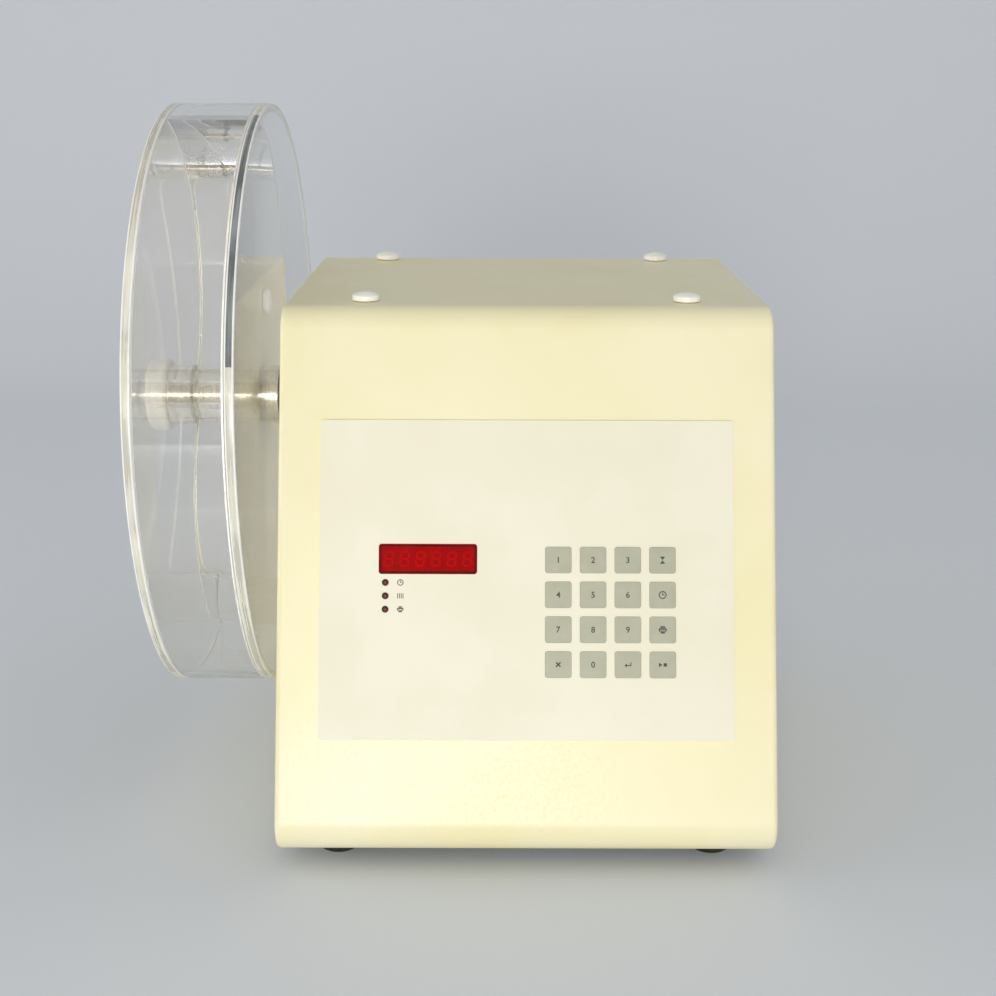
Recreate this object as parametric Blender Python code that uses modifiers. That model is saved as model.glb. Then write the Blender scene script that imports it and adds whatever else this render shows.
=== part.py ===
# Tablet friability tester: a sloped benchtop housing with a display and a keypad, and a clear
# acrylic drum that turns on a shaft out of its left wall.
# Lengths are in metres. +Z is up, the front faces -Y, the drum is on the -X side, and the origin
# is the middle of the bounding box at the level that the feet stand on.

import math

import bmesh
import bpy
from mathutils import Vector

# Clearances
SEAT_GAP = 0.0003
RUNNING_GAP = 0.0003
CUT_OVERRUN = 0.002
MERGE_DISTANCE = 0.00001

# Angles between faces: what is shaded sharp, what is bevelled, and what counts as flat
SHARP_ANGLE = math.radians(35)
BEVEL_ANGLE = math.radians(50)
SIDE_EDGE_ANGLE = math.radians(60)
FLAT_ANGLE = math.radians(0.5)

# Housing shell, measured between the sharp corners that its bends round off
HOUSING_WIDTH = 0.2286
HOUSING_HEIGHT = 0.2394
FRONT_RUN = 0.0863
TOP_DEPTH = 0.1822
HOUSING_WALL = 0.003
FRONT_BEND_RADIUS = 0.014
BOTTOM_BEND_RADIUS = 0.014
BACK_BEND_RADIUS = 0.0025
SIDE_EDGE_RADIUS = 0.0024
BOTTOM_LIP = 0.024

# Base, rear panel and feet
BASE_THICKNESS = 0.0025
BASE_VENT_LENGTH = 0.050
BASE_VENT_WIDTH = 0.008
BASE_VENT_PITCH = 0.014
BASE_VENT_COUNT = 6
PANEL_THICKNESS = 0.002
PANEL_VENT_LENGTH = 0.060
PANEL_VENT_WIDTH = 0.003
PANEL_VENT_PITCH = 0.008
PANEL_VENT_COUNT = 6
PANEL_VENT_DROP = 0.030
FOOT_HEIGHT = 0.010
FOOT_TOP_RADIUS = 0.0115
FOOT_BOTTOM_RADIUS = 0.0095
FOOT_EDGE = 0.0015
FOOT_FROM_SIDE = 0.026
FOOT_FROM_FRONT = 0.015
FOOT_FROM_BACK = 0.034

# Domed plugs that cover the housing's fixing holes
PLUG_RADIUS = 0.0065
PLUG_SKIRT = 0.0024
PLUG_HEIGHT = 0.0042
PLUG_STEM_RADIUS = 0.0042
PLUG_STEM_REACH = 0.0022
PLUG_FROM_SIDE = 0.038
PLUG_FROM_FRONT = 0.0222
PLUG_FROM_BACK = 0.0090
SIDE_PLUG_DROP = 0.0120
SIDE_PLUG_BEHIND_AXIS = 0.020

# Front overlay and what it holds, as drops down the slope from the top bend
OVERLAY_WIDTH = 0.1892
OVERLAY_HEIGHT = 0.1460
OVERLAY_DROP = 0.0521
OVERLAY_THICKNESS = 0.0010
OVERLAY_CORNER = 0.0015
DISPLAY_WIDTH = 0.0448
DISPLAY_HEIGHT = 0.0137
DISPLAY_FROM_LEFT = 0.0468
DISPLAY_DROP = 0.1090
DISPLAY_CORNER = 0.0008
WINDOW_THICKNESS = 0.0020
DIGIT_COUNT = 6
DIGIT_WIDTH = 0.0046
DIGIT_HEIGHT = 0.0071
DIGIT_PITCH = 0.0072
DIGIT_RECESS = 0.0006
MODULE_MARGIN = 0.0012
LED_COUNT = 3
LED_RADIUS = 0.0015
LED_PITCH = 0.0061
LED_FROM_LEFT = 0.0498
LED_DROP = 0.1266
LED_PROUD = 0.0006
LED_SLOT_WIDTH = 0.0046
KEY_SIZE = 0.0120
KEY_PITCH = 0.01585
KEY_CORNER = 0.0009
KEY_PROUD = 0.00025
KEY_TRAVEL = 0.0004
KEY_FIELD_MARGIN = 0.0012
FIRST_KEY_FROM_LEFT = 0.1287
FIRST_KEY_DROP = 0.1161
KEY_ROWS = 4
KEY_COLUMNS = 4

# Circuit board behind the front wall
BOARD_DEPTH = 0.0080
BOARD_THICKNESS = 0.0016
BOARD_MARGIN_X = 0.0090
BOARD_MARGIN_Y = 0.0080
BOARD_CORNER = 0.0020
BOSS_RADIUS = 0.0035
BOSS_INSET = 0.0042

# Drum
DRUM_BORE_RADIUS = 0.1435
DRUM_WALL = 0.0030
DRUM_DEPTH = 0.0395
DISC_THICKNESS = 0.0045
DISC_WALL_GAP = 0.0110
DRUM_AXIS_DROP = 0.0574
DRUM_AXIS_FROM_BACK = 0.1077
HUB_RADIUS = 0.0125
COLLAR_RADIUS = 0.0152
COLLAR_LENGTH = 0.0108
BAFFLE_RADIUS = 0.0760
BAFFLE_THICKNESS = 0.0030
BAFFLE_AXIS_OFFSET = 0.0080
BAFFLE_CENTRE_ANGLE = math.radians(130.5)

# Shaft, clamp knob and hub ring
SHAFT_RADIUS = 0.0047625
SHAFT_HOLE_RADIUS = 0.0080
SHAFT_UNDERCUT = 0.0010
SHAFT_UNDERCUT_WIDTH = 0.0026
SHAFT_UNDERCUT_FROM_COVER = 0.0022
SHOULDER_RADIUS = 0.0150
SHOULDER_THICKNESS = 0.0060
JOURNAL_RADIUS = 0.0050
SHAFT_TAIL_RADIUS = 0.0040
SHAFT_TAIL_LENGTH = 0.0160
KNOB_RADIUS = 0.0185
KNOB_THICKNESS = 0.0089
KNOB_EDGE = 0.0018
KNOB_BORE_DEPTH = 0.0062
RING_SECTION_RADIUS = 0.0010
RING_FROM_BACK_DISC = 0.0100

# Drive inside the housing, placed along the shaft from the left wall
BRACKET_THICKNESS = 0.0030
BRACKET_DEPTH = 0.0700
BRACKET_ABOVE_AXIS = 0.0320
BEARING_FLANGE_RADIUS = 0.0270
BEARING_FLANGE_THICKNESS = 0.0050
BEARING_FLANGE_FROM_WALL = 0.0030
BEARING_BODY_RADIUS = 0.0170
BEARING_BODY_LENGTH = 0.0400
BEARING_RADIUS = 0.0130
BEARING_WIDTH = 0.0080
BEARING_LIP = 0.0010
COUPLING_RADIUS = 0.0100
COUPLING_LENGTH = 0.0260
COUPLING_EDGE = 0.0010
COUPLING_FROM_BEARING = 0.0080
SHAFT_END_SPACE = 0.0020
MOTOR_SHAFT_RADIUS = 0.0040
MOTOR_SHAFT_FREE = 0.0150
MOTOR_SHAFT_SEAT = 0.0140
COUNT_DISC_RADIUS = 0.0220
COUNT_DISC_THICKNESS = 0.0015
COUNT_DISC_SLOT_WIDTH = 0.0040
COUNT_DISC_SLOT_DEPTH = 0.0060
COUNT_DISC_FROM_COUPLING = 0.0050
SENSOR_WIDTH = 0.0120
SENSOR_LOW = 0.0165
SENSOR_HIGH = 0.0300
SENSOR_ARM = 0.0035
SENSOR_SLOT = 0.0040
SENSOR_BRIDGE = 0.0040
GEARBOX_RADIUS = 0.0250
GEARBOX_LENGTH = 0.0280
GEARBOX_PILOT_RADIUS = 0.0090
GEARBOX_EDGE = 0.0015
MOTOR_RADIUS = 0.0185
MOTOR_LENGTH = 0.0520
MOTOR_EDGE = 0.0020

# Mains transformer
CORE_WIDTH = 0.0660
CORE_DEPTH = 0.0280
CORE_HEIGHT = 0.0550
COIL_WIDTH = 0.0400
COIL_DEPTH = 0.0500
COIL_HEIGHT = 0.0350
TRANSFORMER_FROM_BACK = 0.0900
TRANSFORMER_PLACE_SHARE = 0.514  # of the way from the drive's bracket to the right wall

# Rear connections, placed from the housing's right wall and bottom
INLET_WIDTH = 0.0270
INLET_HEIGHT = 0.0200
INLET_BODY_DEPTH = 0.0180
INLET_FLANGE_WIDTH = 0.0320
INLET_FLANGE_HEIGHT = 0.0250
INLET_FLANGE_THICKNESS = 0.0025
INLET_RECESS_WIDTH = 0.0230
INLET_RECESS_HEIGHT = 0.0165
INLET_RECESS_DEPTH = 0.0155
INLET_CORNER = 0.0020
INLET_PIN_WIDTH = 0.0020
INLET_PIN_HEIGHT = 0.0040
INLET_PIN_LENGTH = 0.0120
INLET_PIN_PITCH = 0.0070
INLET_PIN_RISE = 0.0010
INLET_FROM_RIGHT = 0.0420
INLET_UP = 0.0400
SWITCH_WIDTH = 0.0130
SWITCH_HEIGHT = 0.0190
SWITCH_BODY_DEPTH = 0.0140
SWITCH_FLANGE_WIDTH = 0.0160
SWITCH_FLANGE_HEIGHT = 0.0220
SWITCH_FLANGE_THICKNESS = 0.0020
SWITCH_POCKET_WIDTH = 0.0100
SWITCH_POCKET_HEIGHT = 0.0156
SWITCH_POCKET_DEPTH = 0.0100
SWITCH_FROM_RIGHT = 0.0800
SWITCH_UP = 0.0400
ROCKER_HALF_HEIGHT = 0.0070
ROCKER_RISE = 0.0021
ROCKER_ROOT = 0.0040
ROCKER_PIVOT_DEPTH = 0.0010
ROCKER_TILT = math.radians(10.0)
PORT_WIDTH = 0.0190
PORT_HEIGHT = 0.0100
PORT_BODY_DEPTH = 0.0080
PORT_FLANGE_WIDTH = 0.0310
PORT_FLANGE_HEIGHT = 0.0125
PORT_FLANGE_THICKNESS = 0.0012
PORT_SHELL_WIDTH = 0.0165
PORT_SHELL_HEIGHT = 0.0083
PORT_SHELL_LENGTH = 0.0055
PORT_TAPER = 0.0010
PORT_FROM_RIGHT = 0.1250
PORT_UP = 0.0400

# Facets of round shapes
DRUM_STEPS = 72
HUB_STEPS = 36
SHAFT_STEPS = 24
KNOB_STEPS = 36
PLUG_STEPS = 16
DOME_STEPS = 3
RING_SECTION_STEPS = 8
CORNER_STEPS = 2
BEND_STEPS = 6
EDGE_STEPS = 2
BAFFLE_STEPS = 14

# Turns that lay a piece's local axes along the world's
UPRIGHT = (math.pi / 2, 0.0, 0.0)                # local Y up, local Z to the front
SIDEWAYS = (math.pi / 2, 0.0, math.pi / 2)       # local X to the back, local Y up, local Z right
SIDEWAYS_HALF_TURN = (-math.pi / 2, 0.0, -math.pi / 2)  # the same, half a turn on about the shaft
ALONG_SHAFT = (0.0, math.pi / 2, 0.0)            # local Z right
ALONG_SHAFT_REVERSED = (0.0, -math.pi / 2, 0.0)  # local Z left

# Places worked out from the sizes
lean = math.atan2(FRONT_RUN, HOUSING_HEIGHT)
drum_outer_radius = DRUM_BORE_RADIUS + DRUM_WALL
knob_reach = DISC_WALL_GAP + 2 * DISC_THICKNESS + DRUM_DEPTH + COLLAR_LENGTH + SEAT_GAP + KNOB_THICKNESS
plug_proud = SEAT_GAP + PLUG_HEIGHT
wall_x = (knob_reach - HOUSING_WIDTH - plug_proud) / 2
right_x = wall_x + HOUSING_WIDTH

corner_to_front = BOTTOM_BEND_RADIUS * (math.tan(lean) + 1 / math.cos(lean) - 1)
axis_to_corner = FRONT_RUN + TOP_DEPTH - DRUM_AXIS_FROM_BACK
front_reach = max(axis_to_corner - corner_to_front, drum_outer_radius)
back_reach = max(drum_outer_radius, DRUM_AXIS_FROM_BACK + INLET_FLANGE_THICKNESS)
axis_y = (front_reach - back_reach) / 2
front_y = axis_y - axis_to_corner
top_front_y = front_y + FRONT_RUN
back_y = axis_y + DRUM_AXIS_FROM_BACK

bottom_z = FOOT_HEIGHT + SEAT_GAP
top_z = bottom_z + HOUSING_HEIGHT
axis_z = top_z - DRUM_AXIS_DROP
base_top_z = bottom_z + BASE_THICKNESS

back_disc_right = wall_x - DISC_WALL_GAP
back_disc_left = back_disc_right - DISC_THICKNESS
cover_disc_right = back_disc_left - DRUM_DEPTH
cover_disc_left = cover_disc_right - DISC_THICKNESS
collar_left = cover_disc_left - COLLAR_LENGTH
knob_right = collar_left - SEAT_GAP
knob_left = knob_right - KNOB_THICKNESS

bearing_flange_left = wall_x + HOUSING_WALL + BEARING_FLANGE_FROM_WALL
bracket_left = bearing_flange_left + BEARING_FLANGE_THICKNESS + SEAT_GAP
bearing_body_right = bearing_flange_left + BEARING_BODY_LENGTH
coupling_left = bearing_body_right + COUPLING_FROM_BEARING
coupling_right = coupling_left + COUPLING_LENGTH
spindle_right = coupling_left + (COUPLING_LENGTH - SHAFT_END_SPACE) / 2
motor_shaft_left = spindle_right + SHAFT_END_SPACE
bracket_right = coupling_right + MOTOR_SHAFT_FREE + BRACKET_THICKNESS
gearbox_left = bracket_right + SEAT_GAP
gearbox_right = gearbox_left + GEARBOX_LENGTH
count_disc_left = coupling_right + COUNT_DISC_FROM_COUPLING

display_centre = (DISPLAY_FROM_LEFT + DISPLAY_WIDTH / 2, -DISPLAY_DROP - DISPLAY_HEIGHT / 2)
led_rows_height = (LED_COUNT - 1) * LED_PITCH
key_columns_width = (KEY_COLUMNS - 1) * KEY_PITCH
key_rows_height = (KEY_ROWS - 1) * KEY_PITCH
board_width = (FIRST_KEY_FROM_LEFT + key_columns_width + KEY_SIZE / 2
               - DISPLAY_FROM_LEFT + 2 * BOARD_MARGIN_X)
board_height = (FIRST_KEY_DROP + key_rows_height + KEY_SIZE / 2
                - DISPLAY_DROP + 2 * BOARD_MARGIN_Y)
board_centre_x = DISPLAY_FROM_LEFT - BOARD_MARGIN_X + board_width / 2
board_centre_drop = DISPLAY_DROP - BOARD_MARGIN_Y + board_height / 2
overlay_top = SEAT_GAP + OVERLAY_THICKNESS


def clear_scene():
    for thing in list(bpy.data.objects):
        bpy.data.objects.remove(thing, do_unlink=True)


def new_collection(name):
    collection = bpy.data.collections.new(name)
    bpy.context.scene.collection.children.link(collection)
    return collection


def finish(name, colour, roughness, metallic=0.0, alpha=1.0):
    material = bpy.data.materials.new(name)
    material.use_nodes = True
    shader = material.node_tree.nodes["Principled BSDF"]
    shader.inputs["Base Color"].default_value = (*colour, 1.0)
    shader.inputs["Roughness"].default_value = roughness
    shader.inputs["Metallic"].default_value = metallic
    shader.inputs["Alpha"].default_value = alpha
    material.diffuse_color = (*colour, alpha)
    return material


def put(thing, name, material=None, collection=None, place=(0, 0, 0), turn=(0, 0, 0), parent=None):
    """Names an object, files it in its collection and sets its place, turn, parent and material."""
    thing.name = name
    (collection or pieces).objects.link(thing)
    thing.location = place
    thing.rotation_euler = turn
    thing.parent = parent
    if material:
        thing.data.materials.clear()
        thing.data.materials.append(material)
    return thing


def mesh_from(bm, name):
    mesh = bpy.data.meshes.new(name)
    bm.to_mesh(mesh)
    bm.free()
    return mesh


def box(name, size, material=None, edge=0.0, **where):
    """A box centred on its origin, with all its edges bevelled if an edge radius is given."""
    bm = bmesh.new()
    bmesh.ops.create_cube(bm, size=1.0)
    bmesh.ops.scale(bm, vec=size, verts=bm.verts)
    thing = put(bpy.data.objects.new(name, mesh_from(bm, name)), name, material, **where)
    if edge:
        bevel_edges(thing, edge)
    return thing


def bevel_edges(thing, radius, steps=EDGE_STEPS, angle=BEVEL_ANGLE):
    bevel = thing.modifiers.new("rounded_edges", "BEVEL")
    bevel.width = radius
    bevel.segments = steps
    bevel.limit_method = "ANGLE"
    bevel.angle_limit = angle


def turned(name, outline, material=None, steps=SHAFT_STEPS, ring=False, **where):
    """A solid of revolution about local Z. The outline is (radius, height) from the top down."""
    bm = bmesh.new()
    points = [bm.verts.new((radius, 0, height)) for radius, height in outline]
    for first, second in zip(points, points[1:]):
        bm.edges.new((first, second))
    if ring:
        bm.edges.new((points[-1], points[0]))
    thing = put(bpy.data.objects.new(name, mesh_from(bm, name)), name, material, **where)
    screw = thing.modifiers.new("turned", "SCREW")
    screw.steps = steps
    screw.render_steps = steps
    screw.use_merge_vertices = True
    screw.merge_threshold = MERGE_DISTANCE
    return thing


def flat(name, outlines, thickness, material=None, **where):
    """A flat piece on local XY, centred on its thickness: its outer edge first, then its holes."""
    curve = bpy.data.curves.new(name, "CURVE")
    curve.dimensions = "2D"
    curve.fill_mode = "BOTH"
    curve.extrude = thickness / 2
    curve.resolution_u = 1
    for outline in outlines:
        spline = curve.splines.new("POLY")
        spline.points.add(len(outline) - 1)
        for point, (x, y) in zip(spline.points, outline):
            point.co = (x, y, 0, 1)
        spline.use_cyclic_u = True
    return put(bpy.data.objects.new(name, curve), name, material, **where)


def as_mesh(curve_piece):
    """Makes a flat piece a mesh with welded caps, so that it can be cut, joined or bevelled."""
    bpy.context.view_layer.update()
    evaluated = curve_piece.evaluated_get(bpy.context.evaluated_depsgraph_get())
    mesh = bpy.data.meshes.new_from_object(evaluated)
    bm = bmesh.new()
    bm.from_mesh(mesh)
    bmesh.ops.remove_doubles(bm, verts=bm.verts, dist=MERGE_DISTANCE)
    bmesh.ops.dissolve_limit(bm, angle_limit=FLAT_ANGLE, verts=bm.verts, edges=bm.edges)
    bm.to_mesh(mesh)
    bm.free()
    name = curve_piece.name
    collection = curve_piece.users_collection[0]
    solid = bpy.data.objects.new(name, mesh)
    solid.parent = curve_piece.parent
    solid.matrix_world = curve_piece.matrix_world
    bpy.data.objects.remove(curve_piece, do_unlink=True)
    collection.objects.link(solid)
    solid.name = name
    return solid


def as_cutter(thing):
    thing.hide_render = True
    thing.display_type = "WIRE"
    return thing


def combine(thing, others, operation="DIFFERENCE"):
    """Cuts others out of a piece, or joins them to it."""
    for other in others:
        as_cutter(other)
        modifier = thing.modifiers.new(operation.lower() + "_" + other.name, "BOOLEAN")
        modifier.operation = operation
        modifier.solver = "EXACT"
        modifier.object = other
    return thing


def smooth_round(thing):
    thing.data.shade_smooth()
    thing.data.set_sharp_from_angle(angle=SHARP_ANGLE)
    return thing


def rounded_outline(corners, steps=CORNER_STEPS):
    """Rounds the corners of an outline. Each corner is (x, y, radius), and zero keeps it sharp."""
    outline = []
    for index, (x, y, radius) in enumerate(corners):
        corner = Vector((x, y))
        if radius <= 0:
            outline.append((x, y))
            continue
        before = (Vector(corners[index - 1][:2]) - corner).normalized()
        after = (Vector(corners[(index + 1) % len(corners)][:2]) - corner).normalized()
        half = before.angle(after) / 2
        centre = corner + (before + after).normalized() * (radius / math.sin(half))
        start = corner + before * (radius / math.tan(half)) - centre
        end = corner + after * (radius / math.tan(half)) - centre
        sweep = start.angle_signed(end)
        for step in range(steps + 1):
            turn = -sweep * step / steps
            outline.append((centre.x + start.x * math.cos(turn) - start.y * math.sin(turn),
                            centre.y + start.x * math.sin(turn) + start.y * math.cos(turn)))
    return outline


def rectangle(width, height, corner=0.0, centre=(0, 0), steps=CORNER_STEPS):
    left = centre[0] - width / 2
    right = centre[0] + width / 2
    low = centre[1] - height / 2
    high = centre[1] + height / 2
    return rounded_outline([(left, low, corner), (right, low, corner),
                            (right, high, corner), (left, high, corner)], steps)


def circle(radius, centre=(0, 0), steps=SHAFT_STEPS):
    return [(centre[0] + radius * math.cos(2 * math.pi * step / steps),
             centre[1] + radius * math.sin(2 * math.pi * step / steps)) for step in range(steps)]


def cylinder_cutter(name, radius, length, steps=SHAFT_STEPS, **where):
    """A closed cylinder along local Z, centred on its origin."""
    outline = [(0, length / 2), (radius, length / 2), (radius, -length / 2), (0, -length / 2)]
    return turned(name, outline, steps=steps, collection=cutters, **where)


# Housing

def housing_section(inset=0.0, overrun=0.0):
    """The side outline as (back, up): inset for the cavity, which runs out past the bottom and back."""
    slope = math.tan(lean)
    low = bottom_z + inset
    high = top_z - inset
    shift = inset / math.cos(lean)
    bottom_front = front_y + slope * (low - bottom_z) + shift
    top_front = front_y + slope * (high - bottom_z) + shift
    end = back_y + overrun
    return rounded_outline([(bottom_front, low, BOTTOM_BEND_RADIUS - inset), (end, low, 0.0),
                            (end, high, 0.0 if inset else BACK_BEND_RADIUS),
                            (top_front, high, FRONT_BEND_RADIUS - inset)], BEND_STEPS)


def make_housing_cover():
    middle_x = wall_x + HOUSING_WIDTH / 2
    cover = as_mesh(flat("housing_cover", [housing_section()], HOUSING_WIDTH,
                         place=(middle_x, 0, 0), turn=SIDEWAYS))
    cover.data.materials.append(cream_enamel)
    bevel_edges(cover, SIDE_EDGE_RADIUS, angle=SIDE_EDGE_ANGLE)

    inner_width = HOUSING_WIDTH - 2 * HOUSING_WALL
    cavity = as_mesh(flat("cavity", [housing_section(HOUSING_WALL, CUT_OVERRUN)], inner_width,
                          collection=cutters, place=(middle_x, 0, 0), turn=SIDEWAYS))
    lip_end = front_y + BOTTOM_LIP
    opening_depth = back_y + CUT_OVERRUN - lip_end
    opening_height = HOUSING_WALL + 2 * CUT_OVERRUN
    base_opening = box("base_opening", (inner_width, opening_depth, opening_height), collection=cutters,
                       place=(middle_x, lip_end + opening_depth / 2, bottom_z + HOUSING_WALL / 2))

    cut_depth = HOUSING_WALL + 2 * CUT_OVERRUN

    def front_window(name, width, height, x, y):
        return box(name, (width, height, cut_depth), collection=cutters, parent=front_face,
                   place=(x, y, -HOUSING_WALL / 2))

    display_hole = front_window("display_hole", DISPLAY_WIDTH + 2 * SEAT_GAP, DISPLAY_HEIGHT + 2 * SEAT_GAP,
                                *display_centre)
    led_slot = front_window("led_slot", LED_SLOT_WIDTH, led_rows_height + LED_SLOT_WIDTH,
                            LED_FROM_LEFT, -LED_DROP - led_rows_height / 2)
    key_border = KEY_SIZE + 2 * KEY_FIELD_MARGIN
    key_field = front_window("key_field", key_columns_width + key_border, key_rows_height + key_border,
                             FIRST_KEY_FROM_LEFT + key_columns_width / 2,
                             -FIRST_KEY_DROP - key_rows_height / 2)
    shaft_hole = cylinder_cutter("shaft_hole", SHAFT_HOLE_RADIUS, cut_depth, turn=ALONG_SHAFT,
                                 place=on_axis(wall_x + HOUSING_WALL / 2))
    holes = [cavity, base_opening, display_hole, led_slot, key_field, shaft_hole]
    stem_hole = PLUG_STEM_RADIUS + SEAT_GAP
    for name, place in top_plug_places():
        holes.append(cylinder_cutter(name + "_hole", stem_hole, cut_depth, steps=PLUG_STEPS,
                                     place=(place[0], place[1], top_z - HOUSING_WALL / 2)))
    for name, x, turn in side_plug_places():
        holes.append(cylinder_cutter(name + "_hole", stem_hole, cut_depth, steps=PLUG_STEPS, turn=turn,
                                     place=(x, axis_y + SIDE_PLUG_BEHIND_AXIS, top_z - SIDE_PLUG_DROP)))
    combine(cover, holes)

    boss_root = HOUSING_WALL / 2
    boss_length = BOARD_DEPTH - SEAT_GAP - boss_root
    for index, (x, y) in enumerate(board_corners()):
        boss = cylinder_cutter("board_boss_%d" % (index + 1), BOSS_RADIUS, boss_length, steps=PLUG_STEPS,
                               parent=front_face, place=(x, y, -boss_root - boss_length / 2))
        combine(cover, [boss], "UNION")
    smooth_round(cover)


def board_corners():
    reach_x = board_width / 2 - BOSS_INSET
    reach_y = board_height / 2 - BOSS_INSET
    return [(board_centre_x + side * reach_x, -board_centre_drop + end * reach_y)
            for side in (-1, 1) for end in (-1, 1)]


def make_base():
    width = HOUSING_WIDTH - 2 * HOUSING_WALL - 2 * SEAT_GAP
    start = front_y + BOTTOM_LIP + SEAT_GAP
    depth = back_y - start
    centre = (wall_x + HOUSING_WIDTH / 2, start + depth / 2, bottom_z + BASE_THICKNESS / 2)
    vents = [rectangle(BASE_VENT_LENGTH, BASE_VENT_WIDTH,
                       centre=(0, (index - (BASE_VENT_COUNT - 1) / 2) * BASE_VENT_PITCH))
             for index in range(BASE_VENT_COUNT)]
    flat("base_plate", [rectangle(width, depth)] + vents, BASE_THICKNESS, zinc_steel, place=centre)

    outline = [(0, FOOT_HEIGHT), (FOOT_TOP_RADIUS, FOOT_HEIGHT), (FOOT_BOTTOM_RADIUS, FOOT_EDGE),
               (FOOT_BOTTOM_RADIUS - FOOT_EDGE, 0), (0, 0)]
    for side, x in (("left", wall_x + FOOT_FROM_SIDE), ("right", right_x - FOOT_FROM_SIDE)):
        for end, y in (("front", start + FOOT_FROM_FRONT), ("rear", back_y - FOOT_FROM_BACK)):
            smooth_round(turned("foot_%s_%s" % (end, side), outline, black_rubber, place=(x, y, 0)))


def make_rear_panel():
    width = HOUSING_WIDTH - 2 * HOUSING_WALL - 2 * SEAT_GAP
    low = base_top_z + SEAT_GAP
    high = top_z - HOUSING_WALL - SEAT_GAP
    middle_x = wall_x + HOUSING_WIDTH / 2
    middle_z = (low + high) / 2

    def hole(width, height, from_right, up, corner=0.0):
        centre = (right_x - from_right - middle_x, bottom_z + up - middle_z)
        return rectangle(width + 2 * SEAT_GAP, height + 2 * SEAT_GAP, corner, centre)

    holes = [hole(INLET_WIDTH, INLET_HEIGHT, INLET_FROM_RIGHT, INLET_UP),
             hole(SWITCH_WIDTH, SWITCH_HEIGHT, SWITCH_FROM_RIGHT, SWITCH_UP),
             hole(PORT_WIDTH, PORT_HEIGHT, PORT_FROM_RIGHT, PORT_UP)]
    for index in range(PANEL_VENT_COUNT):
        drop = PANEL_VENT_DROP + index * PANEL_VENT_PITCH
        holes.append(rectangle(PANEL_VENT_LENGTH, PANEL_VENT_WIDTH, centre=(0, high - drop - middle_z)))
    flat("rear_panel", [rectangle(width, high - low)] + holes, PANEL_THICKNESS, cream_enamel,
         place=(middle_x, back_y - PANEL_THICKNESS / 2, middle_z), turn=UPRIGHT)


def top_plug_places():
    places = []
    for side, x in (("left", wall_x + PLUG_FROM_SIDE), ("right", right_x - PLUG_FROM_SIDE)):
        places.append(("top_plug_front_" + side, (x, top_front_y + PLUG_FROM_FRONT)))
        places.append(("top_plug_rear_" + side, (x, back_y - PLUG_FROM_BACK)))
    return places


def side_plug_places():
    return [("side_plug_left", wall_x, ALONG_SHAFT_REVERSED), ("side_plug_right", right_x, ALONG_SHAFT)]


def plug(name, place, turn=(0, 0, 0)):
    """A cap with a low dome over a short skirt, and a stem into the wall. Local Z points outwards."""
    rise = PLUG_HEIGHT - PLUG_SKIRT
    sphere = (PLUG_RADIUS ** 2 + rise ** 2) / (2 * rise)
    sweep = math.asin(PLUG_RADIUS / sphere)
    dome = [(sphere * math.sin(sweep * step / DOME_STEPS),
             SEAT_GAP + PLUG_HEIGHT - sphere * (1 - math.cos(sweep * step / DOME_STEPS)))
            for step in range(DOME_STEPS + 1)]
    outline = dome + [(PLUG_RADIUS, SEAT_GAP), (PLUG_STEM_RADIUS, SEAT_GAP),
                      (PLUG_STEM_RADIUS, -PLUG_STEM_REACH), (0, -PLUG_STEM_REACH)]
    smooth_round(turned(name, outline, white_nylon, steps=PLUG_STEPS, place=place, turn=turn))


def make_plugs():
    for name, (x, y) in top_plug_places():
        plug(name, (x, y, top_z))
    for name, x, turn in side_plug_places():
        plug(name, (x, axis_y + SIDE_PLUG_BEHIND_AXIS, top_z - SIDE_PLUG_DROP), turn)


# Front overlay, display, lamps, keys and their board, all in the frame of the sloped front

def key_places():
    for row in range(KEY_ROWS):
        for column in range(KEY_COLUMNS):
            yield row, column, (FIRST_KEY_FROM_LEFT + column * KEY_PITCH, -FIRST_KEY_DROP - row * KEY_PITCH)


def led_places():
    return [(LED_FROM_LEFT, -LED_DROP - index * LED_PITCH) for index in range(LED_COUNT)]


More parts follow.
